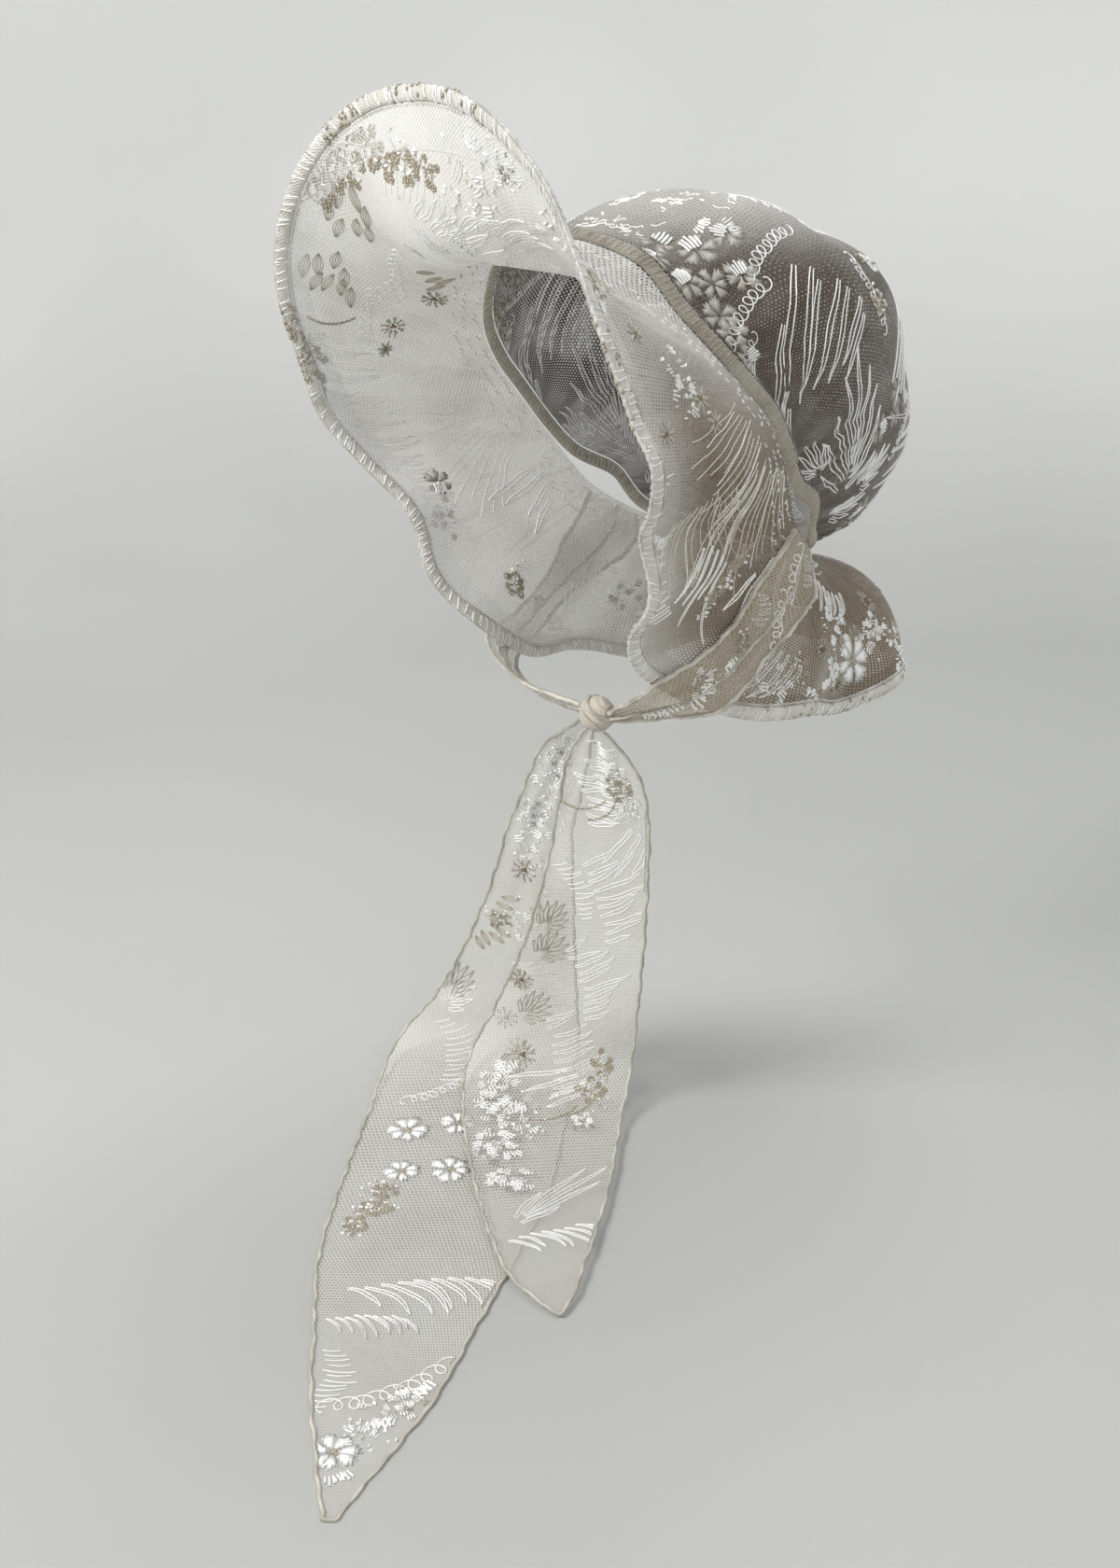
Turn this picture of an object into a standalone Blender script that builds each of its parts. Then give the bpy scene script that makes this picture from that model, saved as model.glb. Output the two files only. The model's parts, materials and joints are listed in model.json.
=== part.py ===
"""Lace veil hat: a sheer embroidered bonnet with a wired brim and a scarf tie.

Metres, +Z up. The wearer faces -Y and the wearer's left is +X. The origin is
the middle of the head, where the hat sits. The tables below are in
millimetres, one row for each section, and MM turns them into metres.
"""

import math

import bmesh
import bpy
import numpy as np

MM = 0.001

# Driving sizes
CLOTH = 1.2 * MM
SCARF_CLOTH = 1.4 * MM
EDGE_WIDTH = 6.6
EDGE_THICKNESS = 3.4
BAND_WIDTH = 7.0
BAND_THICKNESS = 2.6
BRIM_START = 0.2
SEAM_GAP = 0.6
NAPE_GAP = 0.9
CROWN_HEIGHT = 121.0
CROWN_LEAN = -22.0
TABLE = -370.0

# How finely the solids are faceted
AROUND = 96
BRIM_STEPS = 7
CROWN_STEPS = 10

# Half of the brim, from the front centre round the wearer's left to the nape.
# Each row is a section of cloth from the seam (x, y, z) to the rim (x, y, z).
# dip and curl push its inner and outer third towards the head.
# Columns: section, seam_x, seam_y, seam_z, rim_x, rim_y, rim_z, dip, curl.
BRIM_ROWS = (
    ("front", 0, -55, 86, 0, -129, 144, 60, 40),
    ("front_1", 24, -51, 83, 28, -130, 141, 58, 38),
    ("front_2", 48, -46, 74, 56, -132, 130, 44, 30),
    ("temple_1", 64, -40, 56, 84, -133, 108, 22, 16),
    ("temple_2", 76, -30, 40, 101, -132, 80, 6, 6),
    ("temple_3", 83, -16, 24, 108, -126, 54, -4, 0),
    ("side_1", 85, -2, 10, 111, -114, 25, -8, -4),
    ("side_2", 83, 11, -6, 111, -105, 2, -8, -4),
    ("cheek_1", 79, 20, -18, 99, -88, -24, -8, -4),
    ("cheek_2", 75, 28, -29, 82, -74, -48, -6, -4),
    ("cheek_3", 71, 36, -39, 70, -72, -76, -4, -6),
    ("pinch_1", 66, 46, -47, 62, -54, -100, -4, -4),
    ("pinch_2", 60, 57, -54, 66, -22, -121, -4, -4),
    ("flounce_1", 54, 67, -59, 76, 10, -133, -8, -6),
    ("flounce_2", 46, 77, -64, 78, 52, -138, -10, -12),
    ("flounce_3", 36, 86, -68, 72, 94, -144, -14, -18),
    ("flounce_4", 26, 93, -71, 58, 140, -144, -18, -26),
    ("flounce_5", 13, 98, -73, 34, 176, -136, -20, -34),
    ("nape", 0, 100, -74, 0, 188, -146, -20, -30),
)

# Soft folds that run down the brim: the section that each is centred on, its
# half width in sections, its depth at the rim on the wearer's left and right
# (outwards is positive), and how far from the seam (0 to 1) it starts.
# Columns: fold, section, width, left_depth, right_depth, start.
FOLD_ROWS = (
    ("side_fold", 7.0, 0.5, 4.0, 1.0, 0.1),
    ("cheek_fold", 8.4, 0.5, -6.0, -1.5, 0.1),
    ("jaw_fold", 9.5, 0.5, 7.0, 1.0, 0.0),
    ("tie_pinch", 11.4, 0.7, -7.0, -5.0, 0.2),
    ("ruffle_1", 13.5, 0.5, 5.0, 6.0, 0.3),
    ("ruffle_2", 14.6, 0.5, -8.0, -6.0, 0.3),
    ("ruffle_3", 15.8, 0.6, 8.0, 7.0, 0.3),
    ("ruffle_4", 17.1, 0.5, -8.0, -6.0, 0.3),
)

# The crown's outline, from its hem to its top: the height, and how wide the
# ring is there towards the front top, the sides and the nape, as shares.
# Columns: level, height, top, side, nape.
CROWN_ROWS = (
    ("hem", 0.00, 1.000, 1.00, 1.00),
    ("puff_1", 0.10, 0.945, 1.04, 1.01),
    ("puff_2", 0.28, 0.870, 1.08, 1.01),
    ("middle", 0.50, 0.770, 1.05, 0.96),
    ("shoulder_1", 0.70, 0.600, 0.93, 0.86),
    ("shoulder_2", 0.86, 0.410, 0.73, 0.69),
    ("cap", 0.96, 0.220, 0.46, 0.42),
    ("tip", 1.00, 0.000, 0.00, 0.00),
)

# Dents and puffs of the crown: centre (turns round, share of the way up),
# half width in turns and in share, and depth (outwards is positive).
# Columns: dent, turn, up, wide, high, depth.
DENT_ROWS = (
    ("front_dent", 0.03, 0.16, 0.07, 0.10, -4.0),
    ("top_puff", 0.00, 0.40, 0.08, 0.14, 8.0),
    ("back_dent", 0.06, 0.62, 0.05, 0.09, -4.0),
    ("back_puff", 0.34, 0.58, 0.06, 0.12, 4.0),
    ("side_dent", 0.20, 0.45, 0.05, 0.20, -4.0),
    ("far_puff", 0.88, 0.50, 0.06, 0.16, 4.0),
    ("far_dent", 0.76, 0.42, 0.05, 0.18, -4.0),
)

# Small gathers above the crown's hem, full between these shares of the way up
GATHERS = 26
GATHER_DEPTH = 1.6
GATHER_START = 0.08
GATHER_REACH = 0.4

# The crown opens along a plane that leans back over the head.
OPENING_CENTRE = np.array((0.0, 22.0, 10.0))
CROWN_AXIS = np.array((0.0, 0.849, 0.529))
CROWN_UP = np.array((0.0, -0.529, 0.849))

# The slot behind each ear, between the brim and the crown's band
SLOT_SECTION = 10.4
SLOT_WIDTH = 11.0
SLOT_HALF_LENGTH = 1.3

# The tie, which comes out of the slot, lies over the brim and goes to the knot.
# Its front and back edges are at these sections, across the brim from the seam
# (0) to the rim (1), lifted off the middle of the brim's cloth.
# Columns: place, front_section, back_section, across, lift.
TIE_ROWS = (
    ("slot", 10.5, 12.6, 0.03, 2.2),
    ("under_ear", 10.9, 13.3, 0.16, 2.4),
    ("neck_1", 11.2, 13.4, 0.32, 2.6),
    ("neck_2", 11.5, 12.9, 0.50, 2.8),
    ("jaw_1", 11.6, 12.6, 0.68, 3.0),
    ("jaw_2", 11.5, 12.5, 0.85, 3.4),
    ("rim", 11.4, 12.3, 1.00, 3.6),
)
TIE_STEPS = (16, 4)
TIE_PLEATS = 1.5
TIE_PLEAT_DEPTH = 1.0

# From the rim to the knot: front edge and back edge of each tie.
# Columns: place, front_x, front_y, front_z, back_x, back_y, back_z.
LEFT_THROAT_ROWS = (
    ("throat", 48, -46, -118, 50, -31, -129),
    ("knot", 29.8, -44, -128.5, 29.8, -40.5, -133.5),
)
RIGHT_THROAT_ROWS = (
    ("jaw", -46, -48, -118, -48, -33, -128),
    ("chin", -22, -49, -125, -24, -38, -133),
    ("knot", 10.2, -44, -128.5, 10.2, -40.5, -133.5),
)

# The knot at the throat
KNOT_CENTRE = np.array((20.0, -42.0, -131.0))
KNOT_RADII = np.array((9.6, 7.8, 8.6))
KNOT_SEGMENTS = 14
KNOT_RINGS = 8
KNOT_WRAPS = 3
KNOT_GROOVE = 0.10

# The scarf's two ends, from the knot to the tip: left edge, right edge.
# Columns: section, left_x, left_y, left_z, right_x, right_y, right_z.
SHORT_TAIL_ROWS = (
    ("knot", 15, -43.3, -139.6, 24, -41.7, -139.9),
    ("throat", 2, -42, -153, 30, -33, -152),
    ("gather", -7, -39, -170, 34, -27, -164),
    ("chest_1", -16, -36, -195, 33, -19, -186),
    ("chest_2", -27, -34, -231, 28, -13, -221),
    ("chest_3", -48, -32, -282, 20, -7, -268),
    ("chest_4", -70, -35, -328, 12, -3, -312),
    ("bend", -72, -54, -357, 7, -2, -346),
    ("table_1", -38, -84, -366, 20, -22, -364),
    ("table_2", 17, -120, -366, 55, -63, -366),
    ("table_3", 57, -142, -366, 81, -97, -366),
    ("table_4", 84, -153, -366, 97, -120, -366),
    ("table_5", 102, -153, -367, 111, -141, -367),
    ("tip", 113, -153, -368, 115, -151, -368),
)
LONG_TAIL_ROWS = (
    ("knot", 11.1, -41, -135.2, 15.4, -38.7, -138.2),
    ("throat", -20, -42, -158, 2, -30, -157),
    ("gather", -34, -42, -183, -7, -27, -183),
    ("chest_1", -50, -41, -212, -16, -25, -207),
    ("chest_2", -65, -40, -248, -21, -20, -240),
    ("chest_3", -91, -40, -297, -27, -13, -280),
    ("chest_4", -116, -43, -336, -32, -7, -314),
    ("bend", -124, -66, -362, -38, 0, -350),
    ("table_1", -78, -120, -369, -8, -37, -368),
    ("table_2", -30, -172, -369, 38, -90, -369),
    ("table_3", 8, -209, -369, 70, -140, -369),
    ("table_4", 48, -238, -369, 96, -186, -369),
    ("table_5", 80, -261, -369, 119, -226, -369),
    ("table_6", 117, -283, -369, 134, -264, -369),
    ("tip", 142, -297, -369, 145, -293, -369),
)
SHORT_TAIL_STEPS = (26, 4)
LONG_TAIL_STEPS = (30, 4)

# Colours of the plain materials
COLOURS = {
    "lace": (0.86, 0.84, 0.80, 1.0),
    "edge": (0.82, 0.79, 0.73, 1.0),
    "scarf": (0.84, 0.81, 0.75, 1.0),
}


def clear_scene():
    for thing in list(bpy.data.objects):
        bpy.data.objects.remove(thing, do_unlink=True)


def plain_material(name):
    material = bpy.data.materials.get(name) or bpy.data.materials.new(name)
    material.use_nodes = True
    shader = material.node_tree.nodes["Principled BSDF"]
    shader.inputs["Base Color"].default_value = COLOURS[name]
    shader.inputs["Roughness"].default_value = 0.7
    shader.inputs["Metallic"].default_value = 0.0
    return material


# Curves through table rows

def numbers(rows):
    return np.array([row[1:] for row in rows], float)


def curve_between(before, start, end, after, share):
    """Catmull-Rom point a share of the way from start to end."""
    return 0.5 * (
        2 * start
        + (end - before) * share
        + (2 * before - 5 * start + 4 * end - after) * share**2
        + (3 * start - before - 3 * end + after) * share**3
    )


def open_curve(rows, places):
    """Rows of an open table, read at places 0 to 1."""
    last = len(rows) - 1
    position = np.clip(np.asarray(places, float), 0, 1) * last
    index = np.minimum(position.astype(int), last - 1)
    share = (position - index)[:, None]
    before = rows[np.maximum(index - 1, 0)]
    after = rows[np.minimum(index + 2, last)]
    return curve_between(before, rows[index], rows[index + 1], after, share)


def closed_curve(rows, turns):
    """Rows of a closed table, read at turns 0 to 1."""
    count = len(rows)
    position = (np.asarray(turns, float) % 1.0) * count
    index = np.floor(position).astype(int) % count
    share = (position - np.floor(position))[:, None]
    picked = [rows[(index + step) % count] for step in (-1, 0, 1, 2)]
    return curve_between(*picked, share)


def both_sides(rows):
    """The half table, followed by its mirror image back to the front."""
    half = numbers(rows)
    mirror = half[-2:0:-1].copy()
    mirror[:, 0] *= -1
    mirror[:, 3] *= -1
    return np.vstack([half, mirror])


BRIM_TABLE = both_sides(BRIM_ROWS)
SECTIONS = len(BRIM_TABLE)


def section_number(turns):
    """Sections counted from the front centre, the same on both sides."""
    turns = (np.asarray(turns, float) + 0.5) % 1.0 - 0.5
    return np.abs(turns) * SECTIONS


def hump(distance, width):
    return np.exp(-((distance / width) ** 2))


def unit(vectors):
    return vectors / np.linalg.norm(vectors, axis=-1, keepdims=True)


# Brim

def brim_sections(turns):
    """Four control points of each section, and the way out from the head."""
    row = closed_curve(BRIM_TABLE, turns)
    seam, rim = row[:, 0:3], row[:, 3:6]
    step = 0.001
    ahead = closed_curve(BRIM_TABLE, np.asarray(turns) + step)
    behind = closed_curve(BRIM_TABLE, np.asarray(turns) - step)
    along = (ahead - behind)[:, 0:3] + (ahead - behind)[:, 3:6]
    outward = unit(np.cross(rim - seam, along))
    inner = seam + (rim - seam) / 3 - row[:, 6:7] * outward
    outer = seam + (rim - seam) * 2 / 3 - row[:, 7:8] * outward
    return seam, inner, outer, rim, outward


def fold_depth(turns, across):
    section = section_number(turns)[:, None]
    is_left = (np.asarray(turns, float) % 1.0 < 0.5)[:, None]
    depth = np.zeros((len(section), across.shape[-1]))
    for _, centre, width, left, right, start in FOLD_ROWS:
        reach = np.clip((across - start) / (1 - start), 0, 1)
        size = np.where(is_left, left, right)
        depth = depth + size * hump(section - centre, width) * reach**1.5
    return depth


def brim_points(turns, across):
    """Middle of the cloth: turns round the head, across 0 (seam) to 1 (rim)."""
    seam, inner, outer, rim, outward = (part[:, None, :] for part in brim_sections(turns))
    across = np.broadcast_to(np.atleast_2d(across), (seam.shape[0], np.shape(across)[-1]))
    v = across[..., None]
    points = (1 - v) ** 3 * seam + 3 * (1 - v) ** 2 * v * inner + 3 * (1 - v) * v**2 * outer + v**3 * rim
    return points + fold_depth(turns, across)[..., None] * outward


def surface_normals(points, closed):
    """Unit normals of a grid of points, by differences along its two ways."""
    if closed:
        around = np.roll(points, -1, axis=0) - np.roll(points, 1, axis=0)
    else:
        around = np.gradient(points, axis=0)
    across = np.gradient(points, axis=1)
    return unit(np.cross(across, around))


def rim_frame(turns):
    """Points on the rim, the way the cloth runs there, and its outward face."""
    near_rim = brim_points(turns, np.array((0.96, 0.98, 1.0)))
    section = unit(near_rim[:, 2] - near_rim[:, 1])
    along = unit(np.roll(near_rim[:, 2], -1, axis=0) - np.roll(near_rim[:, 2], 1, axis=0))
    face = unit(np.cross(section, along))
    run = np.cross(along, face)
    slant = np.sum(section * run, axis=1)
    return near_rim[:, 2], run, face, slant


def brim_grid():
    turns = np.arange(AROUND) / AROUND
    slants = rim_frame(turns)[3]
    fine = np.linspace(0, 1, 60)
    cloth = brim_points(turns, fine)
    length = np.linalg.norm(np.diff(cloth, axis=1), axis=2).cumsum(axis=1)
    rows = []
    for turn, run, slant in zip(turns, length, slants):
        run = np.concatenate(([0.0], run))
        end = run[-1] - (EDGE_WIDTH + SEAM_GAP) / slant
        wanted = BRIM_START + (end - BRIM_START) * np.linspace(0, 1, BRIM_STEPS + 1)
        places = np.interp(wanted, run, fine)
        rows.append(brim_points(np.array([turn]), places)[0])
    return np.array(rows)


# Crown

def slot_opening(turns):
    return SLOT_WIDTH * hump(section_number(turns) - SLOT_SECTION, SLOT_HALF_LENGTH)


def band_frame(turns):
    """Middle line of the crown's band behind the seam, its width way and face."""
    seam = closed_curve(BRIM_TABLE, turns)[:, 0:3]
    nape = NAPE_GAP * hump(section_number(turns) - 0.5 * SECTIONS, 5.0)
    back = 0.5 * BAND_WIDTH + SEAM_GAP + nape + slot_opening(turns)
    line = seam + back[:, None] * CROWN_AXIS
    along = unit(np.roll(line, -1, axis=0) - np.roll(line, 1, axis=0))
    sideways = unit(CROWN_AXIS - (along @ CROWN_AXIS)[:, None] * along)
    return line, sideways, np.cross(along, sideways)


def crown_points(turns, up):
    line, sideways, _ = band_frame(turns)
    hem = line + (0.5 * BAND_WIDTH + SEAM_GAP) * sideways - OPENING_CENTRE
    side, top, rise = hem[:, 0:1], (hem @ CROWN_UP)[:, None], (hem @ CROWN_AXIS)[:, None]
    level = open_curve(numbers(CROWN_ROWS), up)
    height = level[None, :, 0]
    angle = np.arctan2(top, side * 1.3)
    towards_top = np.clip(np.sin(angle), 0, 1) ** 2
    towards_nape = np.clip(-np.sin(angle), 0, 1) ** 2
    ring = (
        towards_top * level[None, :, 1]
        + np.cos(angle) ** 2 * level[None, :, 2]
        + towards_nape * level[None, :, 3]
    )
    across = side * ring
    lengthways = top * ring + CROWN_LEAN * height
    above = rise * (1 - height) ** 1.5 + CROWN_HEIGHT * height
    points = across[..., None] * np.array((1.0, 0.0, 0.0))
    points = points + lengthways[..., None] * CROWN_UP + above[..., None] * CROWN_AXIS
    return OPENING_CENTRE + points + crown_relief(turns, up)[..., None] * unit(points)


def crown_relief(turns, up):
    turns = np.asarray(turns)[:, None]
    up = np.asarray(up)[None, :]
    fade = np.clip(1 - up / GATHER_REACH, 0, 1) * np.clip(up / GATHER_START, 0, 1)
    relief = GATHER_DEPTH * np.cos(2 * math.pi * GATHERS * turns) * fade
    for _, turn, place, wide, high, depth in DENT_ROWS:
        distance = (turns - turn + 0.5) % 1.0 - 0.5
        relief = relief + depth * hump(distance, wide) * hump(up - place, high)
    return relief


# Meshes

def new_object(name, mesh, material):
    mesh.materials.append(plain_material(material))
    mesh.shade_smooth()
    thing = bpy.data.objects.new(name, mesh)
    bpy.context.collection.objects.link(thing)
    return thing


def grid_mesh(name, points, closed):
    """A sheet of quads; points are in millimetres."""
    rows, columns = points.shape[:2]
    faces = []
    for row in range(rows if closed else rows - 1):
        following = (row + 1) % rows
        for column in range(columns - 1):
            corners = (
                row * columns + column,
                row * columns + column + 1,
                following * columns + column + 1,
                following * columns + column,
            )
            faces.append(corners)
    mesh = bpy.data.meshes.new(name)
    mesh.from_pydata([tuple(point) for point in points.reshape(-1, 3) * MM], [], faces)
    mesh.update()
    return mesh


def thicken(thing, thickness):
    """Give a sheet its cloth's thickness, evenly on both sides."""
    solid = thing.modifiers.new("cloth", "SOLIDIFY")
    solid.thickness = thickness
    solid.offset = 0.0
    solid.use_even_offset = True
    solid.use_rim = True
    return thing


def loop_solid(name, centres, sideways, face, width, thickness, corners, material):
    """A closed loop with a flat oval section; all in millimetres."""
    count = len(centres)
    angles = 2 * math.pi * np.arange(corners) / corners
    wide = 0.5 * width * np.cos(angles)[None, :, None] * sideways[:, None, :]
    thick = 0.5 * thickness * np.sin(angles)[None, :, None] * face[:, None, :]
    points = centres[:, None, :] + wide + thick
    faces = []
    for row in range(count):
        following = (row + 1) % count
        for corner in range(corners):
            beside = (corner + 1) % corners
            faces.append(
                (
                    row * corners + corner,
                    row * corners + beside,
                    following * corners + beside,
                    following * corners + corner,
                )
            )
    mesh = bpy.data.meshes.new(name)
    mesh.from_pydata([tuple(point) for point in points.reshape(-1, 3) * MM], [], faces)
    outward_faces(mesh)
    return new_object(name, mesh, material)


def outward_faces(mesh):
    work = bmesh.new()
    work.from_mesh(mesh)
    bmesh.ops.recalc_face_normals(work, faces=work.faces)
    work.to_mesh(mesh)
    work.free()
    mesh.update()


# Pieces

def make_brim():
    mesh = grid_mesh("brim", brim_grid(), closed=True)
    return thicken(new_object("brim", mesh, "lace"), CLOTH)


def make_brim_edge():
    turns = np.arange(AROUND) / AROUND
    rim, run, face, _ = rim_frame(turns)
    centres = rim - 0.5 * EDGE_WIDTH * run
    return loop_solid("brim_edge", centres, run, face, EDGE_WIDTH, EDGE_THICKNESS, 6, "edge")


def make_crown():
    turns = np.arange(AROUND) / AROUND
    points = crown_points(turns, np.linspace(0, 1, CROWN_STEPS + 1))
    mesh = grid_mesh("crown", points, closed=True)
    work = bmesh.new()
    work.from_mesh(mesh)
    bmesh.ops.remove_doubles(work, verts=work.verts, dist=0.1 * MM)
    bmesh.ops.recalc_face_normals(work, faces=work.faces)
    work.to_mesh(mesh)
    work.free()
    return thicken(new_object("crown", mesh, "lace"), CLOTH)


def make_crown_band():
    turns = np.arange(AROUND) / AROUND
    line, sideways, face = band_frame(turns)
    return loop_solid("crown_band", line, sideways, face, BAND_WIDTH, BAND_THICKNESS, 6, "edge")


def tie_edge(sections, across, lift, side):
    """One edge of the tie on the brim's outer face, on the side +1 or -1."""
    turns = side * sections / SECTIONS
    step = 0.002
    points = []
    for turn, place, rise in zip(turns, across, lift):
        near = brim_points(np.array((turn - step, turn, turn + step)), np.array((place - 0.02, place + 0.02)))
        middle = near[1].mean(axis=0)
        along = near[2].mean(axis=0) - near[0].mean(axis=0)
        face = unit(np.cross(near[1, 1] - near[1, 0], along))
        points.append(middle + rise * face)
    return np.array(points)


def tie_grid(side, throat_rows):
    """Sheet of a tie, from its slot over the brim to the knot."""
    table = numbers(TIE_ROWS)
    front = tie_edge(table[:, 0], table[:, 2], table[:, 3], side)
    back = tie_edge(table[:, 1], table[:, 2], table[:, 3], side)
    rows = np.vstack([np.hstack([front, back]), numbers(throat_rows)])
    along, across = TIE_STEPS
    section = open_curve(rows, np.linspace(0, 1, along + 1))
    front, back = section[:, None, 0:3], section[:, None, 3:6]
    share = np.linspace(0, 1, across + 1)[None, :, None]
    points = front + (back - front) * share
    pleat = TIE_PLEAT_DEPTH * np.sin(2 * math.pi * TIE_PLEATS * share) ** 2
    return points - side * pleat * surface_normals(points, closed=False)


def tail_grid(rows, steps):
    """Sheet of one scarf end, with its tip drawn to a point."""
    along, across = steps
    section = open_curve(numbers(rows), np.linspace(0, 1, along + 1))
    left, right = section[:, None, 0:3], section[:, None, 3:6]
    share = np.linspace(0, 1, across + 1)[None, :, None]
    points = left + (right - left) * share
    lowest = TABLE + 0.5 * SCARF_CLOTH / MM
    points[..., 2] = np.maximum(points[..., 2], lowest)
    return points


def make_tail(name, rows, steps):
    mesh = grid_mesh(name, tail_grid(rows, steps), closed=False)
    return thicken(new_object(name, mesh, "scarf"), SCARF_CLOTH)


def make_tie(name, side, throat_rows):
    mesh = grid_mesh(name, tie_grid(side, throat_rows), closed=False)
    return thicken(new_object(name, mesh, "scarf"), SCARF_CLOTH)


def make_knot():
    """A soft ball with the grooves of the scarf wound round it."""
    work = bmesh.new()
    bmesh.ops.create_uvsphere(work, u_segments=KNOT_SEGMENTS, v_segments=KNOT_RINGS, radius=1.0)
    for vertex in work.verts:
        x, y, z = vertex.co
        groove = 1 - KNOT_GROOVE * (0.5 + 0.5 * math.cos(2 * KNOT_WRAPS * z + 2 * x))
        spot = KNOT_CENTRE + KNOT_RADII * np.array((x, y, z)) * groove
        vertex.co = spot * MM
    mesh = bpy.data.meshes.new("knot")
    work.to_mesh(mesh)
    work.free()
    return new_object("knot", mesh, "scarf")


def main():
    clear_scene()
    make_brim()
    make_brim_edge()
    make_crown()
    make_crown_band()
    make_tie("tie_left", 1, LEFT_THROAT_ROWS)
    make_tie("tie_right", -1, RIGHT_THROAT_ROWS)
    make_knot()
    make_tail("tail_short", SHORT_TAIL_ROWS, SHORT_TAIL_STEPS)
    make_tail("tail_long", LONG_TAIL_ROWS, LONG_TAIL_STEPS)


main()
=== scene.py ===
"""Lace veil hat: sheer net, embroidery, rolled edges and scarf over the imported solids.

Metres, +Z up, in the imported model's frame. The tables are in millimetres, and
MM turns them into metres. Each cloth is a function of two shares: u goes along
or round it and v goes across it. Embroidery is drawn flat in millimetres and
then laid on the cloth.
"""

import json
import math

import bpy
import numpy as np
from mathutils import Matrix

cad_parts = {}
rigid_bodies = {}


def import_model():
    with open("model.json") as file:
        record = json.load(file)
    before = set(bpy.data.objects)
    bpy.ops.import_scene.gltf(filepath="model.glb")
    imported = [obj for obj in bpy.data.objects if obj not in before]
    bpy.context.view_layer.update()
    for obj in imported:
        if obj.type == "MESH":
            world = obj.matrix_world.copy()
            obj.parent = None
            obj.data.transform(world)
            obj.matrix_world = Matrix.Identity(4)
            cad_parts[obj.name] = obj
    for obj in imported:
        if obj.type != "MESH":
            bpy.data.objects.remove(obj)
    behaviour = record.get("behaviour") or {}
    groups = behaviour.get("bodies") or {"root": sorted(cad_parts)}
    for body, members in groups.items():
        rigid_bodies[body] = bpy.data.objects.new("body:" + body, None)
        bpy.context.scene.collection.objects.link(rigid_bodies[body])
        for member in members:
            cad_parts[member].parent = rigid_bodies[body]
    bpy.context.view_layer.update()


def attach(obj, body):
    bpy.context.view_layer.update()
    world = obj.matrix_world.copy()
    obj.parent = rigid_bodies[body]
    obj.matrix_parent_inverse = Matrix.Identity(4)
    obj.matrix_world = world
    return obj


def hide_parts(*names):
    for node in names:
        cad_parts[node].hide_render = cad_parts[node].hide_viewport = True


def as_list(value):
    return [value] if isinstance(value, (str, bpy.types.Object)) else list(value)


for thing in list(bpy.data.objects):
    bpy.data.objects.remove(thing, do_unlink=True)

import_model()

MM = 0.001
SEED = 7

# Sizes that the cloth shares with the solids
EDGE_WIDTH = 6.6
EDGE_THICKNESS = 3.4
BAND_WIDTH = 7.0
BAND_THICKNESS = 2.6
SEAM_GAP = 0.6
NAPE_GAP = 0.9
CROWN_HEIGHT = 121.0
CROWN_LEAN = -22.0
TABLE = -370.0

# Half of the brim, from the front centre round the wearer's left to the nape.
# Columns: section, seam_x, seam_y, seam_z, rim_x, rim_y, rim_z, dip, curl.
BRIM_ROWS = (
    ("front", 0, -55, 86, 0, -129, 144, 60, 40),
    ("front_1", 24, -51, 83, 28, -130, 141, 58, 38),
    ("front_2", 48, -46, 74, 56, -132, 130, 44, 30),
    ("temple_1", 64, -40, 56, 84, -133, 108, 22, 16),
    ("temple_2", 76, -30, 40, 101, -132, 80, 6, 6),
    ("temple_3", 83, -16, 24, 108, -126, 54, -4, 0),
    ("side_1", 85, -2, 10, 111, -114, 25, -8, -4),
    ("side_2", 83, 11, -6, 111, -105, 2, -8, -4),
    ("cheek_1", 79, 20, -18, 99, -88, -24, -8, -4),
    ("cheek_2", 75, 28, -29, 82, -74, -48, -6, -4),
    ("cheek_3", 71, 36, -39, 70, -72, -76, -4, -6),
    ("pinch_1", 66, 46, -47, 62, -54, -100, -4, -4),
    ("pinch_2", 60, 57, -54, 66, -22, -121, -4, -4),
    ("flounce_1", 54, 67, -59, 76, 10, -133, -8, -6),
    ("flounce_2", 46, 77, -64, 78, 52, -138, -10, -12),
    ("flounce_3", 36, 86, -68, 72, 94, -144, -14, -18),
    ("flounce_4", 26, 93, -71, 58, 140, -144, -18, -26),
    ("flounce_5", 13, 98, -73, 34, 176, -136, -20, -34),
    ("nape", 0, 100, -74, 0, 188, -146, -20, -30),
)

# Soft folds down the brim.
# Columns: fold, section, width, left_depth, right_depth, start.
FOLD_ROWS = (
    ("side_fold", 7.0, 0.5, 4.0, 1.0, 0.1),
    ("cheek_fold", 8.4, 0.5, -6.0, -1.5, 0.1),
    ("jaw_fold", 9.5, 0.5, 7.0, 1.0, 0.0),
    ("tie_pinch", 11.4, 0.7, -7.0, -5.0, 0.2),
    ("ruffle_1", 13.5, 0.5, 5.0, 6.0, 0.3),
    ("ruffle_2", 14.6, 0.5, -8.0, -6.0, 0.3),
    ("ruffle_3", 15.8, 0.6, 8.0, 7.0, 0.3),
    ("ruffle_4", 17.1, 0.5, -8.0, -6.0, 0.3),
)

# The crown's outline. Columns: level, height, top, side, nape.
CROWN_ROWS = (
    ("hem", 0.00, 1.000, 1.00, 1.00),
    ("puff_1", 0.10, 0.945, 1.04, 1.01),
    ("puff_2", 0.28, 0.870, 1.08, 1.01),
    ("middle", 0.50, 0.770, 1.05, 0.96),
    ("shoulder_1", 0.70, 0.600, 0.93, 0.86),
    ("shoulder_2", 0.86, 0.410, 0.73, 0.69),
    ("cap", 0.96, 0.220, 0.46, 0.42),
    ("tip", 1.00, 0.000, 0.00, 0.00),
)

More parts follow.
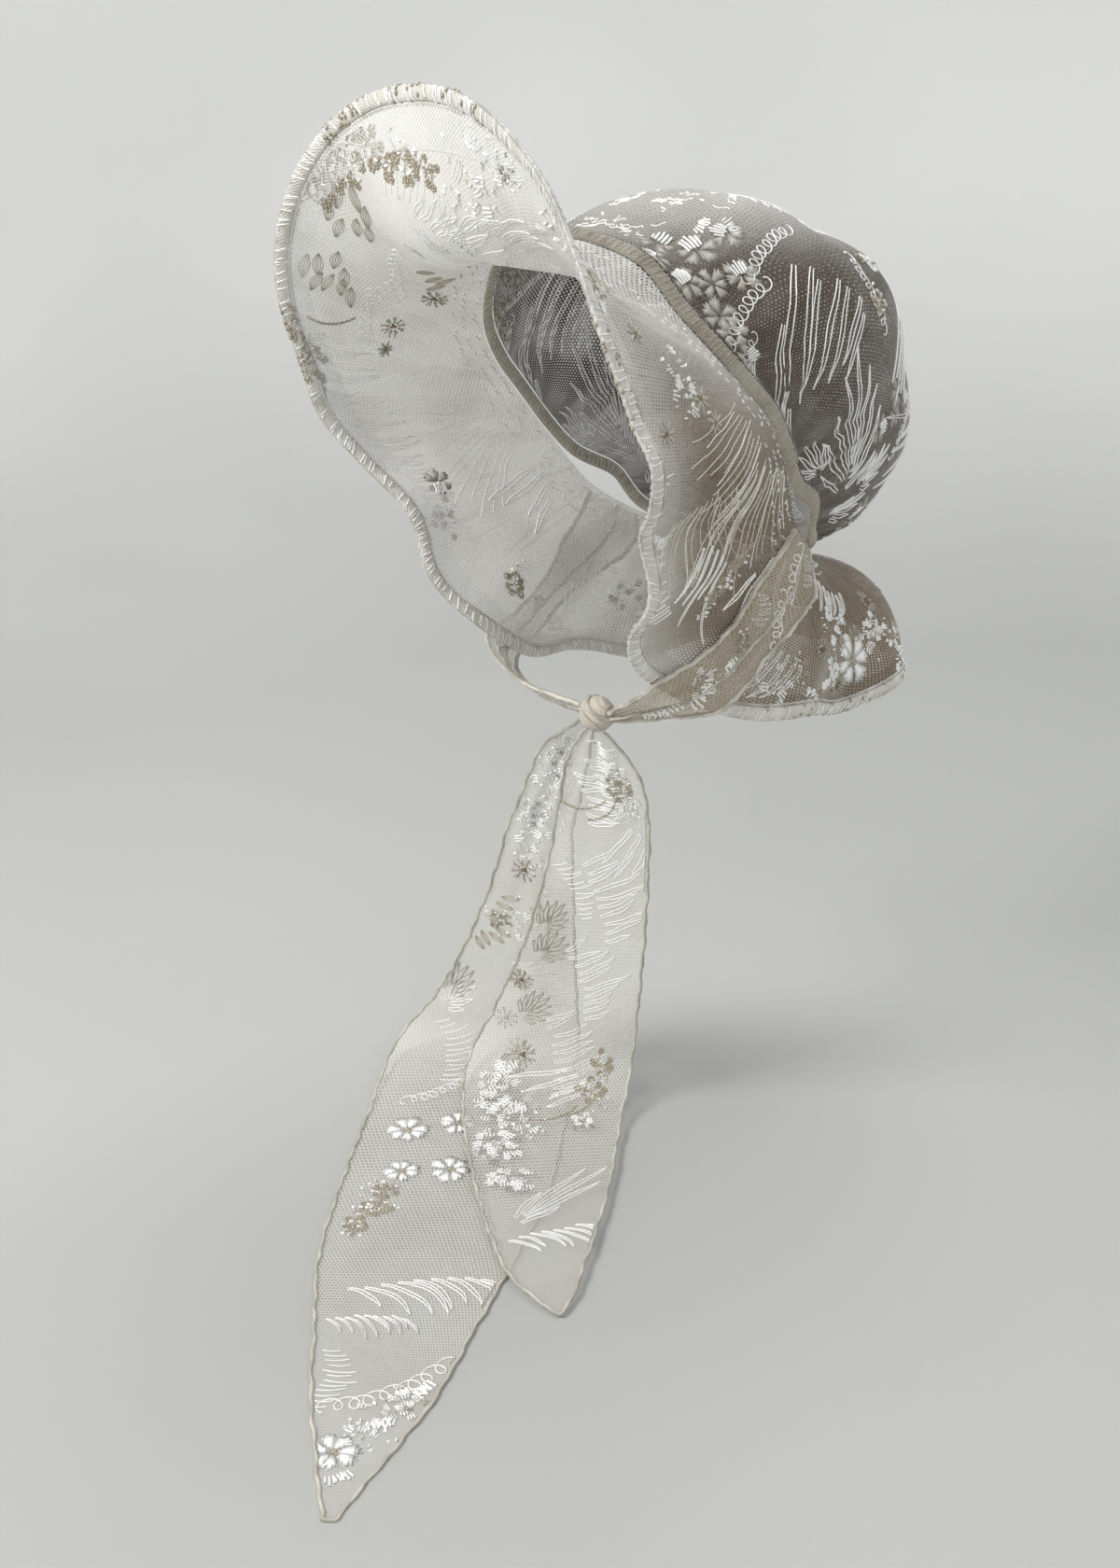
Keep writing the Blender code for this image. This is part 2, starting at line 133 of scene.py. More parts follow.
# Dents and puffs of the crown. Columns: dent, turn, up, wide, high, depth.
DENT_ROWS = (
    ("front_dent", 0.03, 0.16, 0.07, 0.10, -4.0),
    ("top_puff", 0.00, 0.40, 0.08, 0.14, 8.0),
    ("back_dent", 0.06, 0.62, 0.05, 0.09, -4.0),
    ("back_puff", 0.34, 0.58, 0.06, 0.12, 4.0),
    ("side_dent", 0.20, 0.45, 0.05, 0.20, -4.0),
    ("far_puff", 0.88, 0.50, 0.06, 0.16, 4.0),
    ("far_dent", 0.76, 0.42, 0.05, 0.18, -4.0),
)
GATHERS = 26
GATHER_DEPTH = 1.6
GATHER_START = 0.08
GATHER_REACH = 0.4

OPENING_CENTRE = np.array((0.0, 22.0, 10.0))
CROWN_AXIS = np.array((0.0, 0.849, 0.529))
CROWN_UP = np.array((0.0, -0.529, 0.849))

SLOT_SECTION = 10.4
SLOT_WIDTH = 11.0
SLOT_HALF_LENGTH = 1.3

# The tie on the brim. Columns: place, front_section, back_section, across, lift.
TIE_ROWS = (
    ("slot", 10.5, 12.6, 0.03, 2.2),
    ("under_ear", 10.9, 13.3, 0.16, 2.4),
    ("neck_1", 11.2, 13.4, 0.32, 2.6),
    ("neck_2", 11.5, 12.9, 0.50, 2.8),
    ("jaw_1", 11.6, 12.6, 0.68, 3.0),
    ("jaw_2", 11.5, 12.5, 0.85, 3.4),
    ("rim", 11.4, 12.3, 1.00, 3.6),
)
TIE_PLEATS = 1.5
TIE_PLEAT_DEPTH = 1.0

# From the rim to the knot.
# Columns: place, front_x, front_y, front_z, back_x, back_y, back_z.
LEFT_THROAT_ROWS = (
    ("throat", 48, -46, -118, 50, -31, -129),
    ("knot", 29.8, -44, -128.5, 29.8, -40.5, -133.5),
)
RIGHT_THROAT_ROWS = (
    ("jaw", -46, -48, -118, -48, -33, -128),
    ("chin", -22, -49, -125, -24, -38, -133),
    ("knot", 10.2, -44, -128.5, 10.2, -40.5, -133.5),
)

KNOT_CENTRE = np.array((20.0, -42.0, -131.0))
KNOT_RADII = np.array((9.6, 7.8, 8.6))

# The scarf's two ends, from the knot to the tip.
# Columns: section, left_x, left_y, left_z, right_x, right_y, right_z.
SHORT_TAIL_ROWS = (
    ("knot", 15, -43.3, -139.6, 24, -41.7, -139.9),
    ("throat", 2, -42, -153, 30, -33, -152),
    ("gather", -7, -39, -170, 34, -27, -164),
    ("chest_1", -16, -36, -195, 33, -19, -186),
    ("chest_2", -27, -34, -231, 28, -13, -221),
    ("chest_3", -48, -32, -282, 20, -7, -268),
    ("chest_4", -70, -35, -328, 12, -3, -312),
    ("bend", -72, -54, -357, 7, -2, -346),
    ("table_1", -38, -84, -366, 20, -22, -364),
    ("table_2", 17, -120, -366, 55, -63, -366),
    ("table_3", 57, -142, -366, 81, -97, -366),
    ("table_4", 84, -153, -366, 97, -120, -366),
    ("table_5", 102, -153, -367, 111, -141, -367),
    ("tip", 113, -153, -368, 115, -151, -368),
)
LONG_TAIL_ROWS = (
    ("knot", 11.1, -41, -135.2, 15.4, -38.7, -138.2),
    ("throat", -20, -42, -158, 2, -30, -157),
    ("gather", -34, -42, -183, -7, -27, -183),
    ("chest_1", -50, -41, -212, -16, -25, -207),
    ("chest_2", -65, -40, -248, -21, -20, -240),
    ("chest_3", -91, -40, -297, -27, -13, -280),
    ("chest_4", -116, -43, -336, -32, -7, -314),
    ("bend", -124, -66, -362, -38, 0, -350),
    ("table_1", -78, -120, -369, -8, -37, -368),
    ("table_2", -30, -172, -369, 38, -90, -369),
    ("table_3", 8, -209, -369, 70, -140, -369),
    ("table_4", 48, -238, -369, 96, -186, -369),
    ("table_5", 80, -261, -369, 119, -226, -369),
    ("table_6", 117, -283, -369, 134, -264, -369),
    ("tip", 142, -297, -369, 145, -293, -369),
)

# Real lengths of the cloths, for their weave
BRIM_LENGTH = 940.0
BRIM_DEPTH = 105.0
CROWN_RADIUS = 172.0
TIE_LENGTH = 150.0
TIE_WIDTH = 28.0
SHORT_TAIL_LENGTH = 430.0
SHORT_TAIL_WIDTH = 84.0
LONG_TAIL_LENGTH = 585.0
LONG_TAIL_WIDTH = 92.0


# Curves through table rows

def numbers(rows):
    return np.array([row[1:] for row in rows], float)


def curve_between(before, start, end, after, share):
    """Catmull-Rom point a share of the way from start to end."""
    return 0.5 * (
        2 * start
        + (end - before) * share
        + (2 * before - 5 * start + 4 * end - after) * share**2
        + (3 * start - before - 3 * end + after) * share**3
    )


def open_curve(rows, places):
    """Rows of an open table, read at places 0 to 1."""
    last = len(rows) - 1
    position = np.clip(np.asarray(places, float), 0, 1) * last
    index = np.minimum(position.astype(int), last - 1)
    share = (position - index)[:, None]
    before = rows[np.maximum(index - 1, 0)]
    after = rows[np.minimum(index + 2, last)]
    return curve_between(before, rows[index], rows[index + 1], after, share)


def closed_curve(rows, turns):
    """Rows of a closed table, read at turns 0 to 1."""
    count = len(rows)
    position = (np.asarray(turns, float) % 1.0) * count
    index = np.floor(position).astype(int) % count
    share = (position - np.floor(position))[:, None]
    picked = [rows[(index + step) % count] for step in (-1, 0, 1, 2)]
    return curve_between(*picked, share)


def both_sides(rows):
    """The half table, followed by its mirror image back to the front."""
    half = numbers(rows)
    mirror = half[-2:0:-1].copy()
    mirror[:, 0] *= -1
    mirror[:, 3] *= -1
    return np.vstack([half, mirror])


BRIM_TABLE = both_sides(BRIM_ROWS)
CROWN_TABLE = numbers(CROWN_ROWS)
SECTIONS = len(BRIM_TABLE)


def section_number(turns):
    """Sections counted from the front centre, the same on both sides."""
    turns = (np.asarray(turns, float) + 0.5) % 1.0 - 0.5
    return np.abs(turns) * SECTIONS


def hump(distance, width):
    return np.exp(-((distance / width) ** 2))


def unit(vectors):
    return vectors / np.maximum(np.linalg.norm(vectors, axis=-1, keepdims=True), 1e-9)


# The cloths as surfaces: each takes equal lists of u and v and gives points

def brim_at(turns, across):
    """Brim: turns round the head, across from the seam (0) to the rim (1)."""
    row = closed_curve(BRIM_TABLE, turns)
    seam, rim = row[:, 0:3], row[:, 3:6]
    step = 0.001
    ahead = closed_curve(BRIM_TABLE, turns + step)
    behind = closed_curve(BRIM_TABLE, turns - step)
    along = (ahead - behind)[:, 0:3] + (ahead - behind)[:, 3:6]
    outward = unit(np.cross(rim - seam, along))
    inner = seam + (rim - seam) / 3 - row[:, 6:7] * outward
    outer = seam + (rim - seam) * 2 / 3 - row[:, 7:8] * outward
    v = across[:, None]
    points = (1 - v) ** 3 * seam + 3 * (1 - v) ** 2 * v * inner
    points = points + 3 * (1 - v) * v**2 * outer + v**3 * rim
    section = section_number(turns)
    is_left = turns % 1.0 < 0.5
    depth = np.zeros(len(section))
    for _, centre, width, left, right, start in FOLD_ROWS:
        reach = np.clip((across - start) / (1 - start), 0, 1)
        depth = depth + np.where(is_left, left, right) * hump(section - centre, width) * reach**1.5
    return points + depth[:, None] * outward


def band_frame(turns):
    """Middle line of the crown's band behind the seam, its width way and face."""

    def line_at(places):
        section = section_number(places)
        slot = SLOT_WIDTH * hump(section - SLOT_SECTION, SLOT_HALF_LENGTH)
        nape = NAPE_GAP * hump(section - 0.5 * SECTIONS, 5.0)
        back = 0.5 * BAND_WIDTH + SEAM_GAP + nape + slot
        return closed_curve(BRIM_TABLE, places)[:, 0:3] + back[:, None] * CROWN_AXIS

    step = 0.01
    line = line_at(turns)
    along = unit(line_at(turns + step) - line_at(turns - step))
    sideways = unit(CROWN_AXIS - (along @ CROWN_AXIS)[:, None] * along)
    return line, sideways, np.cross(along, sideways)


def crown_at(turns, up):
    """Crown: turns round its hem, up from the hem (0) to the tip (1)."""
    line, sideways, _ = band_frame(turns)
    hem = line + (0.5 * BAND_WIDTH + SEAM_GAP) * sideways - OPENING_CENTRE
    side, top, rise = hem[:, 0], hem @ CROWN_UP, hem @ CROWN_AXIS
    height, ring_top, ring_side, ring_nape = open_curve(CROWN_TABLE, up).T
    angle = np.arctan2(top, side * 1.3)
    towards_top = np.clip(np.sin(angle), 0, 1) ** 2
    towards_nape = np.clip(-np.sin(angle), 0, 1) ** 2
    ring = towards_top * ring_top + np.cos(angle) ** 2 * ring_side + towards_nape * ring_nape
    across = side * ring
    lengthways = top * ring + CROWN_LEAN * height
    above = rise * np.clip(1 - height, 0, 1) ** 1.5 + CROWN_HEIGHT * height
    points = across[:, None] * np.array((1.0, 0.0, 0.0))
    points = points + lengthways[:, None] * CROWN_UP + above[:, None] * CROWN_AXIS
    fade = np.clip(1 - up / GATHER_REACH, 0, 1) * np.clip(up / GATHER_START, 0, 1)
    relief = GATHER_DEPTH * np.cos(2 * math.pi * GATHERS * turns) * fade
    relief = relief + 0.5 * np.cos(2 * math.pi * 2.6 * GATHERS * turns + 1.0) * fade
    for _, turn, place, wide, high, depth in DENT_ROWS:
        distance = (turns - turn + 0.5) % 1.0 - 0.5
        relief = relief + depth * hump(distance, wide) * hump(up - place, high)
    return OPENING_CENTRE + points + relief[:, None] * unit(points)


def tie_edge(sections, across, lift, side):
    """One edge of the tie, this far above the brim's outer face, on the side +1 or -1."""
    turns = side * sections / SECTIONS
    step, nudge = 0.002, 0.02
    middle = brim_at(turns, across)
    along = brim_at(turns + step, across) - brim_at(turns - step, across)
    outwards = brim_at(turns, across + nudge) - brim_at(turns, across - nudge)
    return middle + lift[:, None] * unit(np.cross(outwards, along))


def between_edges(rows):
    """A strip between two edges: points along its rows, a share of the way across."""

    def plain(along, share):
        section = open_curve(rows, along)
        first, second = section[:, 0:3], section[:, 3:6]
        return first + (second - first) * share[:, None]

    return plain


def strip_face(plain, along, share):
    """The face of a strip that the function plain gives."""
    step = 0.01
    lengthways = plain(along + step, share) - plain(along - step, share)
    crossways = plain(along, share + step) - plain(along, share - step)
    return unit(np.cross(crossways, lengthways))


def tie_surface(side, throat_rows):
    """The tie on the side +1 or -1, from its slot over the brim to the knot."""
    table = numbers(TIE_ROWS)
    front = tie_edge(table[:, 0], table[:, 2], table[:, 3], side)
    back = tie_edge(table[:, 1], table[:, 2], table[:, 3], side)
    plain = between_edges(np.vstack([np.hstack([front, back]), numbers(throat_rows)]))

    def tie_at(along, share):
        pleat = TIE_PLEAT_DEPTH * np.sin(2 * math.pi * TIE_PLEATS * share) ** 2
        crease = np.sin(2 * math.pi * 4.5 * share + 9 * along)
        pleat = pleat + 0.5 * crease * (1 - share) * share * 4
        return plain(along, share) - side * pleat[:, None] * strip_face(plain, along, share)

    return tie_at


def tail_surface(rows, folds):
    """A scarf end. folds: where (u), how wide, how deep and how many ripples."""
    plain = between_edges(numbers(rows))
    place, width, depth, ripples = folds

    def tail_at(along, share):
        ripple = np.sin(2 * math.pi * ripples * share + 6 * along)
        ripple = depth * hump(along - place, width) * ripple
        edges = np.clip(4 * share * (1 - share), 0, 1)
        points = plain(along, share) + (ripple * edges)[:, None] * strip_face(plain, along, share)
        points[:, 2] = np.maximum(points[:, 2], TABLE + 1.0)
        return points

    return tail_at


# How embroidery is laid on a cloth: in short steps, each moving by no more than a share
# of the cloth's length, which counts as at least so many millimetres
LAY_STEPS = 6
LAY_REACH = 0.04
LEAST_LENGTH = 20.0
KEPT_END = 0.004


class Cloth:
    """A surface, its sizes in millimetres, and the shares that are on the cloth."""

    def __init__(self, at, flat, low=0.0, high=1.0, around=False):
        self.at = at
        self.flat = flat
        self.low = low
        self.high = high
        self.around = around

    def kept(self, u, v):
        if not self.around:
            u = np.clip(u, KEPT_END, 1 - KEPT_END)
        return u, np.clip(v, self.low, self.high)

    def frame(self, u, v):
        """The way along, the way across and the face, with lengths for one share."""
        step = 0.0015
        along = (self.at(u + step, v) - self.at(u - step, v)) / (2 * step)
        across = (self.at(u, v + step) - self.at(u, v - step)) / (2 * step)
        return along, across, unit(np.cross(along, across))

    def lay(self, u, v, flat_points):
        """Flat points (x, y, height) laid on the cloth from (u, v), in short steps."""
        for _ in range(LAY_STEPS):
            along, across, _ = self.frame(u, v)
            y_way = unit(across)
            slant = np.sum(along * y_way, axis=1)
            x_length = np.linalg.norm(along - slant[:, None] * y_way, axis=1)
            u_move = flat_points[:, 0] / LAY_STEPS / np.maximum(x_length, LEAST_LENGTH)
            u_move = np.clip(u_move, -LAY_REACH, LAY_REACH)
            y_move = flat_points[:, 1] / LAY_STEPS - u_move * slant
            v_move = y_move / np.linalg.norm(across, axis=1)
            u, v = self.kept(u + u_move, v + v_move)
        return self.at(u, v) + flat_points[:, 2:3] * self.frame(u, v)[2]


# Mesh helpers

def new_object(name, points, faces, material, slot):
    """A mesh from points in millimetres and a list or an array of faces."""
    mesh = bpy.data.meshes.new(name)
    faces = faces if isinstance(faces, list) else faces.tolist()
    mesh.from_pydata((np.asarray(points) * MM).tolist(), [], faces)
    mesh.materials.append(material)
    mesh.shade_smooth()
    thing = bpy.data.objects.new(name, mesh)
    bpy.context.collection.objects.link(thing)
    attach(thing, "root")
    return thing


def quads(rows, columns, rows_wrap=False, columns_wrap=False):
    """Faces of a grid of points kept row by row, closed where it wraps."""
    row = np.arange(rows if rows_wrap else rows - 1)[:, None]
    column = np.arange(columns if columns_wrap else columns - 1)[None, :]
    next_row, next_column = (row + 1) % rows, (column + 1) % columns
    corners = (
        row * columns + column,
        row * columns + next_column,
        next_row * columns + next_column,
        next_row * columns + column,
    )
    return np.stack(corners, -1).reshape(-1, 4)


def add_flat_map(thing, spots):
    """A UV map: each face corner's place on the flat cloth, in metres."""
    layer = thing.data.uv_layers.new(name="flat")
    layer.data.foreach_set("uv", np.asarray(spots, np.float32).ravel())


def corner_vertices(thing):
    return np.array([corner.vertex_index for corner in thing.data.loops])


def cloth_object(name, cloth, steps, material, slot, top=1.0, offset=0.0):
    """A single sheet over a cloth up to the share top, offset by millimetres."""
    along, across = steps
    u = np.arange(along) / along if cloth.around else np.linspace(0, 1, along + 1)
    v = np.linspace(0.0, top, across + 1)
    grid_u, grid_v = (values.ravel() for values in np.meshgrid(u, v, indexing="ij"))
    points = cloth.at(grid_u, grid_v)
    if offset:
        points = points + offset * cloth.frame(grid_u, grid_v)[2]
    faces = quads(len(u), len(v), rows_wrap=cloth.around)
    thing = new_object(name, points, faces, material, slot)
    corner_u, corner_v = grid_u[faces], grid_v[faces]
    if cloth.around:
        closes = (corner_u < 0.5 / along) & (corner_u.max(axis=1, keepdims=True) > 0.9)
        corner_u = np.where(closes, 1.0, corner_u)
    add_flat_map(thing, np.stack(cloth.flat(corner_u, corner_v), -1) * MM)
    return thing


def tube_points(centres, normal_a, normal_b, wide, thick, corners):
    """Rings of points round a line; wide and thick are radii, which may vary by ring and corner."""
    angles = 2 * math.pi * np.arange(corners) / corners
    a_part = (wide * np.cos(angles)[None, :])[..., None] * normal_a[:, None, :]
    b_part = (thick * np.sin(angles)[None, :])[..., None] * normal_b[:, None, :]
    return centres[:, None, :] + a_part + b_part


def tube_object(name, rings, closed, material, slot):
    """A tube through rings of points; an open one is capped at its ends."""
    count, corners = rings.shape[:2]
    faces = quads(count, corners, closed, True).tolist()
    if not closed:
        faces.append(list(range(corners))[::-1])
        faces.append(list(range((count - 1) * corners, count * corners)))
    thing = new_object(name, rings.reshape(-1, 3), faces, material, slot)
    steps = np.linalg.norm(np.diff(rings[:, 0], axis=0), axis=1)
    length = np.concatenate([[0], np.cumsum(steps)])
    vertex = corner_vertices(thing)
    add_flat_map(thing, np.stack([length[vertex // corners] * MM, vertex % corners * 2.0 * MM], -1))
    return thing


# Materials

def node(tree, kind, **inputs):
    made = tree.nodes.new(kind)
    for name, value in inputs.items():
        made.inputs[name.replace("_", " ")].default_value = value
    return made


def link(tree, source, target):
    tree.links.new(source, target)


def maths(tree, operation, first, second=None):
    made = tree.nodes.new("ShaderNodeMath")
    made.operation = operation
    for index, value in enumerate((first, second)):
        if isinstance(value, (int, float)):
            made.inputs[index].default_value = value
        elif value is not None:
            link(tree, value, made.inputs[index])
    return made.outputs[0]


def scaled(tree, value, from_low, from_high, to_low, to_high):
    made = tree.nodes.new("ShaderNodeMapRange")
    made.interpolation_type = "SMOOTHSTEP"
    link(tree, value, made.inputs["Value"])
    names = ("From Min", "From Max", "To Min", "To Max")
    for name, number in zip(names, (from_low, from_high, to_low, to_high)):
        made.inputs[name].default_value = number
    return made.outputs["Result"]


def flat_place(tree):
    return tree.nodes.new("ShaderNodeUVMap").outputs["UV"]


def space_place(tree):
    return tree.nodes.new("ShaderNodeTexCoord").outputs["Object"]


def split(tree, place):
    """The X, Y and Z of a place."""
    made = tree.nodes.new("ShaderNodeSeparateXYZ")
    link(tree, place, made.inputs[0])
    return made.outputs


def noise(tree, place, scale, detail):
    made = node(tree, "ShaderNodeTexNoise", Scale=scale, Detail=detail)
    link(tree, place, made.inputs["Vector"])
    return made.outputs["Fac"]


def slanted_waves(tree, place, scale, distortion):
    made = node(tree, "ShaderNodeTexWave", Scale=scale, Distortion=distortion, Detail=2.0)
    made.bands_direction = "DIAGONAL"
    link(tree, place, made.inputs["Vector"])
    return made.outputs["Fac"]


def mixed(tree, share, first, second):
    """From the first colour to the second; each is three numbers or a node's output."""
    made = tree.nodes.new("ShaderNodeMix")
    made.data_type = "RGBA"
    link(tree, share, made.inputs["Factor"])
    for name, colour in (("A", first), ("B", second)):
        if isinstance(colour, tuple):
            made.inputs[name].default_value = (*colour, 1.0)
        else:
            link(tree, colour, made.inputs[name])
    return made.outputs["Result"]


def honeycomb(tree, flat, cell):
    """Three waves that cross at 60 degrees: high in a net's holes, low on its threads."""
    wave = 2 * math.pi / cell
    total = None
    for turn in (0, 60, 120):
        dot = tree.nodes.new("ShaderNodeVectorMath")
        dot.operation = "DOT_PRODUCT"
        link(tree, flat, dot.inputs[0])
        angle = math.radians(turn)
        dot.inputs[1].default_value = (wave * math.cos(angle), wave * math.sin(angle), 0.0)
        cosine = maths(tree, "COSINE", dot.outputs["Value"])
        total = cosine if total is None else maths(tree, "ADD", total, cosine)
    return total


def base_material(name, roughness, sheen, specular=0.3):
    material = bpy.data.materials.new(name)
    material.use_nodes = True
    tree = material.node_tree
    shader = tree.nodes["Principled BSDF"]
    shader.inputs["Roughness"].default_value = roughness
    shader.inputs["Sheen Weight"].default_value = sheen
    shader.inputs["Sheen Roughness"].default_value = 0.4
    shader.inputs["Specular IOR Level"].default_value = specular
    return material, tree, shader


def add_bump(tree, shader, height, strength, distance):
    bump = node(tree, "ShaderNodeBump", Strength=strength, Distance=distance)
    link(tree, height, bump.inputs["Height"])
    link(tree, bump.outputs["Normal"], shader.inputs["Normal"])


def brim_shade(tree):
    """From 0 to 1: how dark the brim's net is, most from the ear to the nape and by the seam."""
    place = split(tree, flat_place(tree))
    behind_ear = 0.36 * BRIM_LENGTH * MM
    from_ear = maths(tree, "ABSOLUTE", maths(tree, "SUBTRACT", place["X"], behind_ear))
    beside = scaled(tree, from_ear, 0.15, 0.27, 1.0, 0.0)
    inward = scaled(tree, place["Y"], 0.066, 0.112, 1.0, 0.25)
    ruffle = scaled(tree, place["X"], 0.31 * BRIM_LENGTH * MM, behind_ear, 0.0, 1.0)
    return maths(tree, "MULTIPLY", beside, maths(tree, "MAXIMUM", inward, ruffle))


def crown_shade(tree):
    """From 0 to 1: how dark the crown's net is, least at its top and back."""
    place = split(tree, space_place(tree))
    below = scaled(tree, place["Z"], 0.068, 0.110, 1.0, 0.0)
    ahead = scaled(tree, place["Y"], 0.10, 0.155, 1.0, 0.3)
    return maths(tree, "MULTIPLY", below, ahead)


def net_material(name, pale, deep, thin, thick, cell=1.6, warm=None, shade=None, gathers=None):
    """Sheer net: thin and thick are its least and most opacity, and cell is a hole in
    millimetres. warm is a colour that it turns to as far as the function shade says.
    gathers are how many to a metre along the cloth and across it."""
    material, tree, shader = base_material(name, 0.7, 0.3)
    flat = flat_place(tree)
    place = space_place(tree)
    threads = scaled(tree, honeycomb(tree, flat, cell * MM), -0.9, 1.6, 1.0, 0.0)
    cloudy = scaled(tree, noise(tree, place, 22.0, 3.0), 0.35, 0.7, 0.0, 1.0)
    creases = scaled(tree, noise(tree, place, 70.0, 4.0), 0.3, 0.75, 0.0, 1.0)
    opacity = scaled(tree, threads, 0.0, 1.0, thin, thick)
    opacity = maths(tree, "MULTIPLY", opacity, scaled(tree, cloudy, 0.0, 1.0, 0.86, 1.12))
    if gathers:
        stretch = tree.nodes.new("ShaderNodeMapping")
        stretch.inputs["Scale"].default_value = (*gathers, 1.0)
        link(tree, flat, stretch.inputs["Vector"])
        rows = scaled(tree, noise(tree, stretch.outputs["Vector"], 1.0, 3.0), 0.42, 0.68, 0.0, 1.0)
        creases = maths(tree, "MAXIMUM", maths(tree, "MULTIPLY", creases, 0.5), rows)
        opacity = maths(tree, "ADD", opacity, maths(tree, "MULTIPLY", rows, 0.16))
    colour = mixed(tree, cloudy, pale, deep)
    if warm:
        share = shade(tree)
        opacity = maths(tree, "ADD", opacity, maths(tree, "MULTIPLY", share, 0.12))
        colour = mixed(tree, share, colour, warm)
    link(tree, opacity, shader.inputs["Alpha"])
    link(tree, colour, shader.inputs["Base Color"])
    height = maths(tree, "ADD", maths(tree, "MULTIPLY", threads, 0.25), creases)
    add_bump(tree, shader, height, 0.45, 0.0014)
    return material


def thread_material(name, pale, deep, shine):
    """Satin stitch: fine threads side by side, a little uneven in colour."""
    material, tree, shader = base_material(name, 0.36, 0.2, shine)
    place = space_place(tree)
    link(tree, mixed(tree, noise(tree, place, 260.0, 2.0), pale, deep), shader.inputs["Base Color"])
    add_bump(tree, shader, slanted_waves(tree, place, 270.0, 2.5), 0.5, 0.0003)
    return material


def roll_material(name, pale, deep, opacity, twist):
    """A rolled or bound edge: slanted stitches over gathered cloth."""
    material, tree, shader = base_material(name, 0.6, 0.3)
    soft = noise(tree, space_place(tree), 90.0, 3.0)
    stitches = slanted_waves(tree, flat_place(tree), twist, 3.0)
    colour = mixed(tree, scaled(tree, soft, 0.3, 0.7, 0.0, 1.0), pale, deep)
    link(tree, colour, shader.inputs["Base Color"])
    shader.inputs["Alpha"].default_value = opacity
    add_bump(tree, shader, maths(tree, "MULTIPLY", stitches, soft), 0.7, 0.0008)
    return material


LACE = net_material(
    "lace_net",
    (0.82, 0.80, 0.765),
    (0.71, 0.685, 0.635),
    0.28,
    0.80,
    warm=(0.165, 0.118, 0.070),
    shade=brim_shade,
    gathers=(75.0, 9.0),
)
CROWN_LACE = net_material(
    "crown_net",
    (0.56, 0.55, 0.52),
    (0.40, 0.385, 0.355),
    0.34,
    0.84,
    warm=(0.064, 0.043, 0.028),
    shade=crown_shade,
    gathers=(60.0, 10.0),
)
FACING = net_material("facing_net", (0.86, 0.86, 0.85), (0.78, 0.78, 0.77), 0.22, 0.76, cell=1.0)
SCARF = net_material("scarf_net", (0.75, 0.74, 0.70), (0.63, 0.61, 0.56), 0.18, 0.62)
TIE_CLOTH = net_material(
    "tie_net", (0.50, 0.44, 0.345), (0.35, 0.295, 0.215), 0.42, 0.90, gathers=(10.0, 160.0)
)
KNOT_CLOTH = net_material("knot_cloth", (0.64, 0.59, 0.51), (0.44, 0.395, 0.325), 0.9, 1.0)
CASING = roll_material("edge_casing", (0.82, 0.80, 0.755), (0.73, 0.705, 0.65), 0.84, 330.0)
ROPE = roll_material("edge_rope", (0.93, 0.92, 0.89), (0.66, 0.63, 0.57), 1.0, 520.0)
HEM = roll_material("rolled_hem", (0.74, 0.70, 0.62), (0.54, 0.50, 0.43), 1.0, 420.0)
BAND = roll_material("gathered_band", (0.50, 0.46, 0.385), (0.37, 0.33, 0.27), 0.66, 260.0)

# Columns: thread, pale colour, deep colour, shine.
THREAD_ROWS = (
    ("white", (0.98, 0.98, 0.97), (0.86, 0.86, 0.85), 0.7),
    ("taupe", (0.50, 0.45, 0.355), (0.33, 0.285, 0.21), 0.7),
    ("greige", (0.47, 0.44, 0.38), (0.34, 0.31, 0.26), 0.5),
    ("pale", (0.48, 0.46, 0.41), (0.36, 0.34, 0.30), 0.4),
    ("brown", (0.27, 0.20, 0.115), (0.16, 0.115, 0.06), 0.4),
    ("cream", (0.80, 0.765, 0.69), (0.62, 0.58, 0.50), 0.5),
    ("stone", (0.54, 0.50, 0.41), (0.41, 0.37, 0.295), 0.5),
)
THREADS = {name: thread_material(f"{name}_thread", *looks) for name, *looks in THREAD_ROWS}


# Embroidery, drawn flat: each part is points (x, y, height) and triangles

# Widths of threads
THREAD = 0.72
THIN_THREAD = 0.58
FINE_THREAD = 0.46

GOLDEN_ANGLE = 137.5


def directions(line):
    """The way ahead along a flat line, and the way to its left."""
    ahead = unit(np.gradient(line, axis=0))
    return ahead, np.stack([-ahead[:, 1], ahead[:, 0]], -1)


def band(line, width, relief=0.45):
    """A raised stitched line with the same width, or a width for each point."""
    line = np.asarray(line, float)
    count = len(line)
    width = np.broadcast_to(np.asarray(width, float), count)
    half = 0.5 * width[:, None] * directions(line)[1]
    rise = relief * np.clip(width / max(width.max(), 1e-6), 0.15, 1.0)
    flat = np.zeros(count)
    sides = ((line + half, flat), (line, rise), (line - half, flat), (line, -rise))
    ring = np.stack([np.column_stack(side) for side in sides], 1)
    faces = quads(count, 4, columns_wrap=True)[:, (0, 1, 2, 0, 2, 3)]
    return ring.reshape(-1, 3), faces.reshape(-1, 3)


def domed(rim, middle, relief):
    """A flat patch, raised to its middle on both faces of the cloth."""
    count = len(rim)
    flat_rim = np.column_stack([rim, np.zeros(count)])
    points = np.vstack([flat_rim, (*middle, relief), (*middle, -relief)])
    corner = np.arange(count)
    beside = (corner + 1) % count
    above = np.column_stack([corner, beside, np.full(count, count)])
    below = np.column_stack([beside, corner, np.full(count, count + 1)])
    return points, np.stack([above, below], 1).reshape(-1, 3)


def bead(x, y, radius, relief=1.0):
    """A knot of thread."""
    angles = np.arange(6) * math.pi / 3
    rim = np.column_stack([x + radius * np.cos(angles), y + radius * np.sin(angles)])
    return domed(rim, (x, y), relief)


